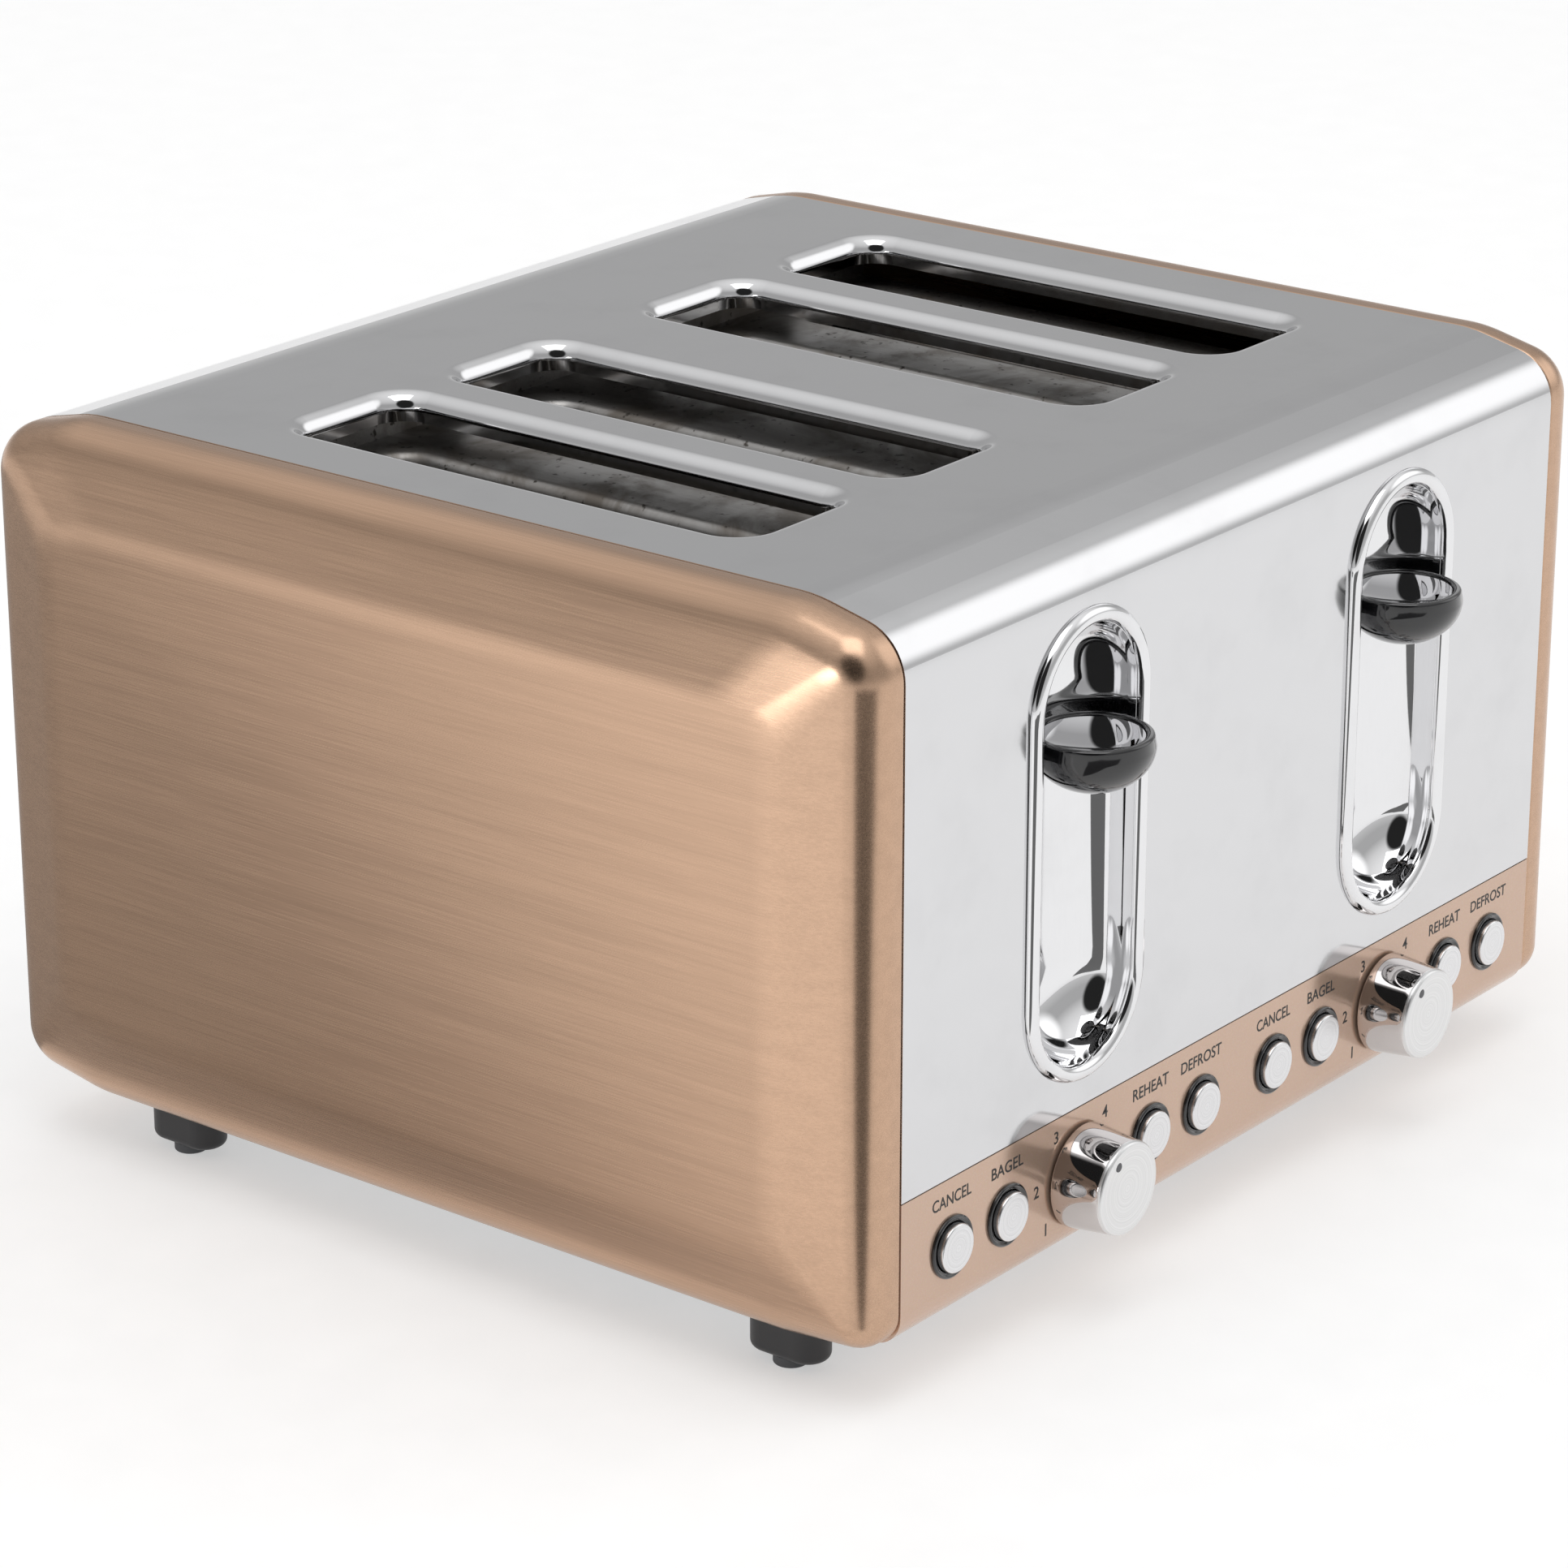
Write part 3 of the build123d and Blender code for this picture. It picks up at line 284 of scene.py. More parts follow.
@dataclass(frozen=True)
class Brushed(Finish):
    """Metal brushed along one axis: fine streaks in colour, gloss and relief."""

    along: str = "Y"
    streaks: float = 2600.0
    contrast: float = 0.10
    depth: float = 2.0e-6
    coat: float = 0.0

    def build(self, graph: Graph) -> bpy.types.Material:
        """Long thin noise drives the streaks, and slow noise the unevenness."""
        fine = [self.streaks if axis != self.along else self.streaks / 90 for axis in "XYZ"]
        broad = [self.streaks / 9 if axis != self.along else self.streaks / 300 for axis in "XYZ"]
        hair = graph.noise(fine, detail=3.0, roughness=0.65)
        band = graph.noise(broad, detail=2.0)
        cloud = graph.noise(9.0, detail=1.0)
        tone = graph.between(0.25, 0.75, hair * 0.65 + band * 0.35)
        colour = graph.mix(
            tone, shade(self.colour, 1 - self.contrast), shade(self.colour, 1 + self.contrast)
        )
        rough = (hair - 0.5) * 0.10 + (cloud - 0.5) * 0.05 + self.roughness
        return graph.surface(
            Base_Color=colour, Metallic=1.0, Roughness=rough, Coat_Weight=self.coat,
            Coat_Roughness=0.12, Normal=graph.relief(hair, self.depth),
        )


@dataclass(frozen=True)
class Polished(Finish):
    """Polished metal: faint smears and hair scratches in the gloss, and a slight sheet ripple."""

    ripple: float = 0.0
    smear: float = 0.03

    def build(self, graph: Graph) -> bpy.types.Material:
        """Slow noise makes smears, a stretched noise makes scratches."""
        cloud = graph.noise(38.0, detail=4.0, roughness=0.6)
        scratch = graph.noise([260.0, 260.0, 4200.0], detail=2.0)
        slow = graph.noise(24.0, detail=0.0)
        smear = graph.between(0.45, 0.8, cloud)
        colour = graph.mix(smear, self.colour, shade(self.colour, 0.95))
        rough = smear * self.smear + (scratch - 0.5) * 0.02 + self.roughness
        relief = graph.relief(slow + scratch * 0.002, self.ripple)
        return graph.surface(Base_Color=colour, Metallic=1.0, Roughness=rough, Normal=relief)


@dataclass(frozen=True)
class Lacquered(Finish):
    """Copper-coloured metallic coat on sheet: fine flake under a satin clear coat."""

    def build(self, graph: Graph) -> bpy.types.Material:
        """Cells make the flake, slow noise the unevenness of the coat."""
        flake = graph.cells(5200.0)
        sparkle = graph.noise(2400.0, detail=1.0)
        cloud = graph.noise(30.0, detail=2.0)
        tone = graph.mix(0.06, self.colour, flake)
        colour = graph.mix(graph.between(0.3, 0.7, sparkle), shade(self.colour, 0.97), tone)
        rough = (cloud - 0.5) * 0.05 + (sparkle - 0.5) * 0.06 + self.roughness
        return graph.surface(
            Base_Color=colour, Metallic=0.55, Roughness=rough, Coat_Weight=0.2,
            Coat_Roughness=0.06, Normal=graph.relief(sparkle, 3.0e-6),
        )


@dataclass(frozen=True)
class Moulded(Finish):
    """Moulded plastic or rubber: a fine spark-eroded grain and slight unevenness."""

    grain: float = 1500.0
    depth: float = 2.5e-5
    coat: float = 0.0

    def build(self, graph: Graph) -> bpy.types.Material:
        """Cell noise makes the grain, slow noise the wear."""
        grain = graph.noise(self.grain, detail=3.0, roughness=0.6)
        wear = graph.noise(55.0, detail=3.0)
        colour = graph.mix(graph.between(0.35, 0.8, wear), self.colour, shade(self.colour, 1.35))
        rough = (grain - 0.5) * 0.12 + (wear - 0.5) * 0.10 + self.roughness
        return graph.surface(
            Base_Color=colour, Roughness=rough, Coat_Weight=self.coat, Coat_Roughness=0.03,
            Normal=graph.relief(grain, self.depth, 0.5),
        )


@dataclass(frozen=True)
class Spun(Finish):
    """Metal turned on a lathe: rings about the middle of the piece's own map."""

    rings: float = 2400.0
    depth: float = 3.0e-6

    def build(self, graph: Graph) -> bpy.types.Material:
        """Noise on the distance from the middle makes the rings."""
        where = graph.place(1.0, own=True)
        reach = graph.node("ShaderNodeVectorMath", {"operation": "LENGTH"}, {0: where}, "Value")
        line = graph.node("ShaderNodeCombineXYZ", inputs={"X": reach * self.rings})
        groove = graph.noise(line, detail=2.0, roughness=0.7)
        cloud = graph.noise(400.0, detail=2.0)
        colour = graph.mix(
            graph.between(0.3, 0.7, groove), shade(self.colour, 0.9), shade(self.colour, 1.06)
        )
        rough = (groove - 0.5) * 0.10 + (cloud - 0.5) * 0.05 + self.roughness
        return graph.surface(
            Base_Color=colour, Metallic=1.0, Roughness=rough,
            Normal=graph.relief(groove, self.depth),
        )


@dataclass(frozen=True)
class Heated(Finish):
    """Plain sheet from a hot chamber: drawn streaks, straw and grey bloom, and dust."""

    bloom: Colour = (0.19, 0.17, 0.15)

    def build(self, graph: Graph) -> bpy.types.Material:
        """Two clouds of noise mix the bare metal, the bloom and the dust."""
        stain = graph.noise([34.0, 34.0, 22.0], detail=5.0, roughness=0.65, twist=0.6)
        fleck = graph.noise(420.0, detail=3.0)
        drawn = graph.noise([1900.0, 40.0, 1900.0], detail=2.0)
        bare = graph.mix(graph.between(0.3, 0.7, drawn), shade(self.colour, 0.85), self.colour)
        worn = graph.mix(graph.between(0.40, 0.66, stain), bare, self.bloom)
        colour = graph.mix(graph.between(0.62, 0.72, fleck), worn, shade(self.bloom, 0.4))
        rough = graph.between(0.35, 0.7, stain) * 0.22 + (drawn - 0.5) * 0.1 + self.roughness
        return graph.surface(
            Base_Color=colour, Metallic=0.9, Roughness=rough, Normal=graph.relief(fleck, 1.5e-5)
        )


@dataclass(frozen=True)
class Patterned(Finish):
    """One pattern drives the colour and the relief, and it or another the gloss."""

    dark: float = 1.0
    light: float = 1.0
    metal: float = 0.0
    swing: float = 0.2
    depth: float = 4.0e-6

    def pattern(self, graph: Graph) -> tuple[Wire, Wire]:
        """The tone of the colour, and what varies the gloss."""
        raise NotImplementedError

    def build(self, graph: Graph) -> bpy.types.Material:
        """Shade the colour from dark to light by the pattern's tone."""
        tone, gloss = self.pattern(graph)
        colour = graph.mix(tone, shade(self.colour, self.dark), shade(self.colour, self.light))
        return graph.surface(
            Base_Color=colour, Metallic=self.metal, Roughness=gloss * self.swing + self.roughness,
            Normal=graph.relief(tone, self.depth),
        )


@dataclass(frozen=True)
class Galvanised(Patterned):
    """Zinc-coated sheet: the spangle of its crystals."""

    def pattern(self, graph: Graph) -> tuple[Wire, Wire]:
        """Cells of a Voronoi pattern give each crystal its own tone and gloss."""
        tone = graph.grey(graph.cells(190.0))
        return tone, tone


@dataclass(frozen=True)
class Layered(Patterned):
    """Pressed mica: pale flakes of every size, pressed into a sheet."""

    def pattern(self, graph: Graph) -> tuple[Wire, Wire]:
        """Large cells and fine noise overlap, each flake with its own tone."""
        small = graph.noise(900.0, detail=4.0, roughness=0.7)
        tone = graph.grey(graph.cells(260.0)) * 0.5 + small * 0.5
        return tone, tone


@dataclass(frozen=True)
class Wound(Patterned):
    """Iron core wound with enamelled wire: close turns round the legs."""

    def pattern(self, graph: Graph) -> tuple[Wire, Wire]:
        """A wave up the legs gives each turn of wire its own edge."""
        wave = graph.node(
            "ShaderNodeTexWave", {"wave_type": "BANDS", "bands_direction": "Z"},
            {"Vector": graph.place(1.0), "Scale": 620.0, "Distortion": 0.4}, "Fac",
        )
        return wave, graph.noise(300.0, detail=2.0)


@dataclass(frozen=True)
class Laminate(Patterned):
    """Circuit board: lacquered laminate with paler tracks."""

    def pattern(self, graph: Graph) -> tuple[Wire, Wire]:
        """A brick pattern's joints stand for the tracks."""
        track = graph.node(
            "ShaderNodeTexBrick", {"offset": 0.37, "squash": 0.7},
            {"Vector": graph.place(1.0), "Scale": 150.0, "Mortar Size": 0.08,
             "Color1": (0, 0, 0), "Color2": (0, 0, 0), "Mortar": (1, 1, 1)}, "Color",
        )
        return graph.grey(track), graph.noise(500.0, detail=2.0)


@dataclass(frozen=True)
class Printed(Patterned):
    """Screen-printed ink: dense black with a slightly uneven density and sheen."""

    def pattern(self, graph: Graph) -> tuple[Wire, Wire]:
        """Fine noise varies the ink's density and gloss."""
        grain = graph.noise(3000.0, detail=2.0)
        return grain, grain


POLISHED_STEEL = Polished("polished_steel", (0.70, 0.70, 0.71), 0.07, ripple=1.0e-4, smear=0.04)
BRUSHED_COPPER = Brushed("brushed_copper", (0.555, 0.368, 0.255), 0.27)
COPPER_STRIP = Lacquered("copper_strip", (0.63, 0.44, 0.33), 0.16)
CHROME = Polished("chrome", (0.80, 0.80, 0.81), 0.035, ripple=6.0e-5, smear=0.03)
SMOKED_CHROME = Polished("smoked_chrome", (0.62, 0.59, 0.58), 0.04, ripple=3.0e-5, smear=0.03)
SPUN_CAP = Spun("spun_cap", (0.78, 0.78, 0.79), 0.24)
SATIN_FACE = Spun("satin_face", (0.80, 0.80, 0.80), 0.36, depth=1.5e-6)
GLOSS_BLACK = Moulded("gloss_black", (0.006, 0.006, 0.007), 0.10, depth=1.0e-6, coat=0.6)
SATIN_BLACK = Moulded("satin_black", (0.022, 0.022, 0.024), 0.45)
SOFT_GREY = Moulded("soft_grey", (0.075, 0.077, 0.082), 0.75, grain=900.0, depth=5.0e-5)
INNER_SHEET = Heated("inner_sheet", (0.40, 0.39, 0.38), 0.34)
GALVANISED_SHEET = Galvanised("galvanised_sheet", (0.42, 0.43, 0.44), 0.30, 0.72, 1.25, 0.95)
PRESSED_MICA = Layered(
    "pressed_mica", (0.30, 0.27, 0.23), 0.42, 0.6, 1.3, 0.15, swing=0.25, depth=3.0e-5
)
BRIGHT_WIRE = Brushed("bright_wire", (0.50, 0.50, 0.52), 0.25, along="Z", streaks=3000.0)
WOUND_CORE = Wound("wound_core", (0.35, 0.14, 0.06), 0.35, dark=0.4, metal=0.7, depth=2.0e-4)
CIRCUIT_LAMINATE = Laminate(
    "circuit_laminate", (0.03, 0.13, 0.06), 0.30, light=2.4, swing=0.1, depth=5.0e-5
)
RIBBON = Brushed("element_ribbon", (0.20, 0.18, 0.17), 0.40, along="Y", streaks=1800.0)
BLACK_INK = Printed("black_ink", (0.012, 0.011, 0.010), 0.35, light=2.0, depth=5.0e-6)
DOT_INK = Printed("dot_ink", (0.07, 0.07, 0.075), 0.45, light=2.0, depth=5.0e-6)

SLOT_FINISHES: dict[Slot, Finish] = dict(zip(Slot, (
    POLISHED_STEEL, BRUSHED_COPPER, COPPER_STRIP, CHROME, SPUN_CAP, GLOSS_BLACK, SATIN_BLACK,
    SOFT_GREY, INNER_SHEET, GALVANISED_SHEET, PRESSED_MICA, BRIGHT_WIRE, WOUND_CORE,
    CIRCUIT_LAMINATE,
)))


# ------------------------------------------------------------------ surfaces
@dataclass
class Surface:
    """Points and faces worked out as whole arrays, with a place on the piece's own map."""

    points: np.ndarray
    faces: list[tuple[int, ...]]
    chart: np.ndarray

    def __add__(self, other: "Surface") -> "Surface":
        """Both surfaces as one."""
        shift = len(self.points)
        moved = [tuple(corner + shift for corner in face) for face in other.faces]
        return Surface(
            np.vstack([self.points, other.points]),
            self.faces + moved,
            np.vstack([self.chart, other.chart]),
        )


def grid(
    rows: np.ndarray,
    round_rows: bool = False,
    round_columns: bool = True,
    start: Optional[Sequence[float]] = None,
    end: Optional[Sequence[float]] = None,
    chart: Optional[np.ndarray] = None,
) -> Surface:
    """A surface through a grid of points: point (i, j) joins (i, j+1), (i+1, j+1) and (i+1, j).

    Args:
        rows: The points, rows by columns by 3.
        round_rows: Join the last row to the first.
        round_columns: Join the last column to the first.
        start: A pole that closes the first row.
        end: A pole that closes the last row.
        chart: The points' own map, rows by columns by 2.

    Returns:
        The surface.
    """
    high, wide = rows.shape[:2]
    index = np.arange(high * wide).reshape(high, wide)
    down = np.roll(index, -1, axis=0) if round_rows else index[1:]
    here = index if round_rows else index[:-1]
    if round_columns:
        right, corner = np.roll(here, -1, axis=1), np.roll(down, -1, axis=1)
    else:
        right, corner = here[:, 1:], down[:, 1:]
        here, down = here[:, :-1], down[:, :-1]
    quads = np.stack([here, right, corner, down], axis=-1).reshape(-1, 4)
    faces = [tuple(quad) for quad in quads.tolist()]
    points = [rows.reshape(-1, 3)]
    flat = [np.zeros((high * wide, 2)) if chart is None else chart.reshape(-1, 2)]
    for pole, ring in ((start, index[0][::-1]), (end, index[-1])):
        if pole is not None:
            tip = sum(len(block) for block in points)
            points.append(np.array([pole], float))
            flat.append(np.zeros((1, 2)))
            fan = np.stack([ring, np.roll(ring, -1), np.full(len(ring), tip)], axis=-1)
            faces += [tuple(triangle) for triangle in fan.tolist()]
    return Surface(np.vstack(points), faces, np.vstack(flat))


def rounded(
    corners: Sequence[Sequence[float]],
    radii: Sequence[float],
    steps: int = 6,
    closed: bool = False,
) -> np.ndarray:
    """A polyline with its corners rounded.

    At a corner the arc turns by w about a centre C, from the point P where it touches the line
    before to Q on the line after: point(s) = C + (sin((1-s)w) (P-C) + sin(sw) (Q-C)) / sin(w).

    Args:
        corners: The polyline's corners.
        radii: A radius for each corner. The ends of an open line are not rounded.
        steps: Parts of each arc.
        closed: Join the last corner to the first.

    Returns:
        The points, by 2.
    """
    spots = np.asarray(corners, float)
    count = len(spots)
    made = []
    for number in range(count):
        spot, radius = spots[number], radii[number]
        if radius <= 0 or (not closed and number in (0, count - 1)):
            made.append(spot[None])
            continue
        ahead = spots[(number + 1) % count] - spot
        back = spots[number - 1] - spot
        ahead, back = ahead / np.linalg.norm(ahead), back / np.linalg.norm(back)
        half = math.acos(np.clip(ahead @ back, -1, 1)) / 2
        middle = (ahead + back) / np.linalg.norm(ahead + back)
        centre = spot + middle * radius / math.sin(half)
        reach = radius / math.tan(half)
        first, last = spot + back * reach - centre, spot + ahead * reach - centre
        sweep = math.pi - 2 * half
        share = np.linspace(0, 1, steps + 1)[:, None]
        arc = np.sin((1 - share) * sweep) * first + np.sin(share * sweep) * last
        made.append(centre + arc / math.sin(sweep))
    return np.vstack(made)


def turned(
    profile: np.ndarray,
    centre: Sequence[float],
    axis: Sequence[float],
    steps: int = 72,
    solid: bool = True,
) -> Surface:
    """A turned shape: point(i, t) = centre + h_i axis + r_i (cos t u + sin t v).

    Args:
        profile: Radius and height of each ring.
        centre: The point at height 0.
        axis: The unit direction of height.
        steps: Parts of a turn.
        solid: Close both ends with a pole at the middle.

    Returns:
        The surface. Its map is the place across the axis in metres.
    """
    along = Vector(axis)
    side = along.orthogonal().normalized()
    other = along.cross(side)
    turn = np.arange(steps) * 2 * math.pi / steps
    round_ = np.cos(turn)[:, None] * np.array(side) + np.sin(turn)[:, None] * np.array(other)
    radius, height = profile[:, 0, None, None], profile[:, 1, None, None]
    rows = np.array(centre, float) + height * np.array(along) + radius * round_[None]
    flat = radius * np.stack([np.cos(turn), np.sin(turn)], -1)[None]
    ends = [None, None]
    if solid:
        ends = [np.array(centre) + profile[end, 1] * np.array(along) for end in (0, -1)]
    return grid(rows, start=ends[0], end=ends[1], chart=flat)


def stand(name: str, data: Any) -> bpy.types.Object:
    """An object made from its data and linked into the scene."""
    made = bpy.data.objects.new(name, data)
    bpy.context.scene.collection.objects.link(made)
    return made


def piece(
    name: str,
    surface: Surface,
    finish: Finish,
    body: str = HOUSING,
    stands_for: Sequence[str] = (),
    crease: float = 40.0,
    outward: bool = True,
) -> bpy.types.Object:
    """Put a surface into the scene as a finished piece.

    Args:
        name: The piece's name.
        surface: Its points and faces.
        finish: Its finish.
        body: The body it rides on.
        stands_for: The CAD nodes it replaces.
        crease: Edges that turn by more than this many degrees stay sharp.
        outward: Turn the faces outwards.

    Returns:
        The object.
    """
    mesh = bpy.data.meshes.new(name)
    mesh.from_pydata(surface.points.tolist(), [], surface.faces)
    chart = mesh.uv_layers.new(name="own")
    corners = np.zeros(len(mesh.loops), dtype=np.int32)
    mesh.loops.foreach_get("vertex_index", corners)
    chart.data.foreach_set("uv", surface.chart[corners].astype(np.float32).ravel())
    if outward:
        shell = bmesh.new()
        shell.from_mesh(mesh)
        bmesh.ops.recalc_face_normals(shell, faces=shell.faces)
        shell.to_mesh(mesh)
        shell.free()
    mesh.polygons.foreach_set("use_smooth", np.ones(len(mesh.polygons), dtype=bool))
    mesh.set_sharp_from_angle(angle=math.radians(crease))
    mesh.materials.append(finish.material())
    made = stand(name, mesh)
    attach(made, body)
    if stands_for:
        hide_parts(*stands_for)
    LOG.info("%s: %d faces on %s", name, len(mesh.polygons), body)
    return made


def thicken(made: bpy.types.Object, gauge: float, offset: float) -> None:
    """Give a skin a wall of a gauge, inwards for offset -1 and outwards for 1."""
    wall = made.modifiers.new("gauge", "SOLIDIFY")
    wall.thickness = gauge
    wall.offset = offset


def middle_of(name: str) -> tuple[float, ...]:
    """The middle of a CAD node's box."""
    return tuple((low + high) / 2 for low, high in zip(*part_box(name)))


# ------------------------------------------------------------------ sub-assemblies
@dataclass
class SidePanel:
    """A pressed copper-coloured pan: rim, tight bend, wide bevel and a barely crowned face."""

    side: str
    runs: tuple[float, float] = (24.2 * MM, 26.2 * MM)
    slopes: tuple[float, float] = (math.radians(13.0), math.radians(10.0))
    radii: tuple[float, float, float] = (40 * MM, 13 * MM, 12 * MM)
    strip_bend: float = 8.0 * MM
    front_share: float = 0.45
    face_runs: tuple[float, float] = (17.0 * MM, 17.0 * MM)
    face_slopes: tuple[float, float] = (math.radians(10.7), math.radians(10.7))
    face_radii: tuple[float, float, float] = (40 * MM, 10 * MM, 10 * MM)
    rim: float = 11.0 * MM
    bevel_inset: float = 23.4 * MM
    bend: float = 10.0 * MM
    soft: float = 5.0 * MM
    seam_gap: float = 0.15 * MM
    seam_step: float = 0.2 * MM
    seam_round: float = 0.7 * MM
    lip_inset: float = 1.4 * MM
    lip: float = 10.0 * MM
    crown: float = 0.45 * MM
    gauge: float = 0.8 * MM
    tightest: float = 1.0 * MM
    low: Vector = field(init=False)
    high: Vector = field(init=False)

    def __post_init__(self) -> None:
        """Take the panel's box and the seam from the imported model."""
        self.low, self.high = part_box(f"{self.side}_side_panel")
        self.sign = SIDES[self.side]
        self.outer = self.high.x if self.sign > 0 else -self.low.x
        self.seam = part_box("wrap_cover")[1].x + self.seam_gap

    def outline(
        self, inset: float, margin: float, runs: Sequence[float], slopes: Sequence[float],
        radii: Sequence[float],
    ) -> np.ndarray:
        """Side outline: a rectangle whose ends fall away in shallow facets, drawn in by an inset.

        Args:
            inset: How far the whole outline is drawn in.
            margin: How far its rectangle stands in from the body's.
            runs: Length of the facets at the top and at the base.
            slopes: Their slopes.
            radii: Radii of the kinks, of the top corners and of the base corners.

        Returns:
            The outline's points in Y and Z.
        """
        front, rear = self.low.y + margin + inset, self.high.y - margin - inset
        base, top = self.low.z + margin + inset, self.high.z - margin - inset
        run_t, run_b = [
            run - inset * (1 - math.tan(slope / 2)) for run, slope in zip(runs, slopes)
        ]
        drop, rise = run_t * math.tan(slopes[0]), run_b * math.tan(slopes[1])
        corners = [
            (front + run_b, base), (rear - run_b, base), (rear, base + rise), (rear, top - drop),
            (rear - run_t, top), (front + run_t, top), (front, top - drop),
            (front, base + rise * self.front_share),
        ]
        soft, upper, lower = [max(radius - inset, self.tightest) for radius in radii]
        toe = max(self.strip_bend - inset, self.tightest)
        bends = [soft, soft, lower, upper, soft, soft, upper, toe]
        return rounded(corners, bends, steps=12, closed=True)

    def body(self, inset: float) -> np.ndarray:
        """The body's outline, drawn in by an inset."""
        return self.outline(inset, 0.0, self.runs, self.slopes, self.radii)

    def face(self, inset: float) -> np.ndarray:
        """The raised face's outline, drawn in by an inset."""
        return self.outline(
            inset, self.bevel_inset, self.face_runs, self.face_slopes, self.face_radii
        )

    def build(self) -> None:
        """Carry the section (distance out, inset) round the outline, then close the face.

        Rim and bend are insets of the body's outline. The bevel runs straight from there to the
        face's outline, and a quadratic curve rounds it into the face, which rises to a slight
        crown: height = crown * (1 - (1 - k)^2) at share k of the way to the middle.
        """
        rise = self.outer - self.seam - self.crown - self.rim
        turn = math.atan2(self.bevel_inset, rise)
        start = self.seam + self.rim - self.bend * math.tan(turn / 2)
        rows: list[tuple[float, np.ndarray]] = [(self.seam - self.lip, self.body(self.lip_inset))]
        rows.append((self.seam + self.seam_step, self.body(self.lip_inset)))
        for angle in np.linspace(0, math.pi / 2, 5):
            inset = self.seam_round * (1 - math.sin(angle))
            rows.append((self.seam + self.seam_round * (1 - math.cos(angle)), self.body(inset)))
        for x in np.linspace(self.seam + 2 * self.seam_round, start, 4):
            rows.append((x, self.body(0.0)))
        for angle in np.linspace(0, turn, 9)[1:]:
            inset = self.bend * (1 - math.cos(angle))
            rows.append((start + self.bend * math.sin(angle), self.body(inset)))
        bend_x, bend_edge = rows[-1]
        edge_x, edge = self.outer - self.crown, self.face(0.0)
        inner = self.face(self.soft)
        lead = self.soft / math.hypot(self.bevel_inset, rise)
        first = edge + (bend_edge - edge) * lead
        first_x = edge_x + (bend_x - edge_x) * lead
        for share in np.linspace(0, 1, 5)[1:-1]:
            edge_at = bend_edge + (first - bend_edge) * share
            rows.append((bend_x + (first_x - bend_x) * share, edge_at))
        for s in np.linspace(0, 1, 9):
            x = (1 - s) ** 2 * first_x + 2 * s * (1 - s) * edge_x + s**2 * edge_x
            rows.append((x, (1 - s) ** 2 * first + 2 * s * (1 - s) * edge + s**2 * inner))
        middle = inner.mean(axis=0)
        for k in np.linspace(0, 1, 14)[1:-1]:
            x = edge_x + self.crown * (1 - (1 - k) ** 2)
            rows.append((x, middle + (inner - middle) * (1 - k)))
        points = np.stack([
            np.column_stack([np.full(len(ring), self.sign * x), ring]) for x, ring in rows
        ])
        pole = (self.sign * self.outer, *middle)
        made = piece(
            f"{self.side}_panel_skin", grid(points, end=pole), BRUSHED_COPPER,
            stands_for=[f"{self.side}_side_panel"], crease=50.0,
        )
        thicken(made, self.gauge, -1.0)


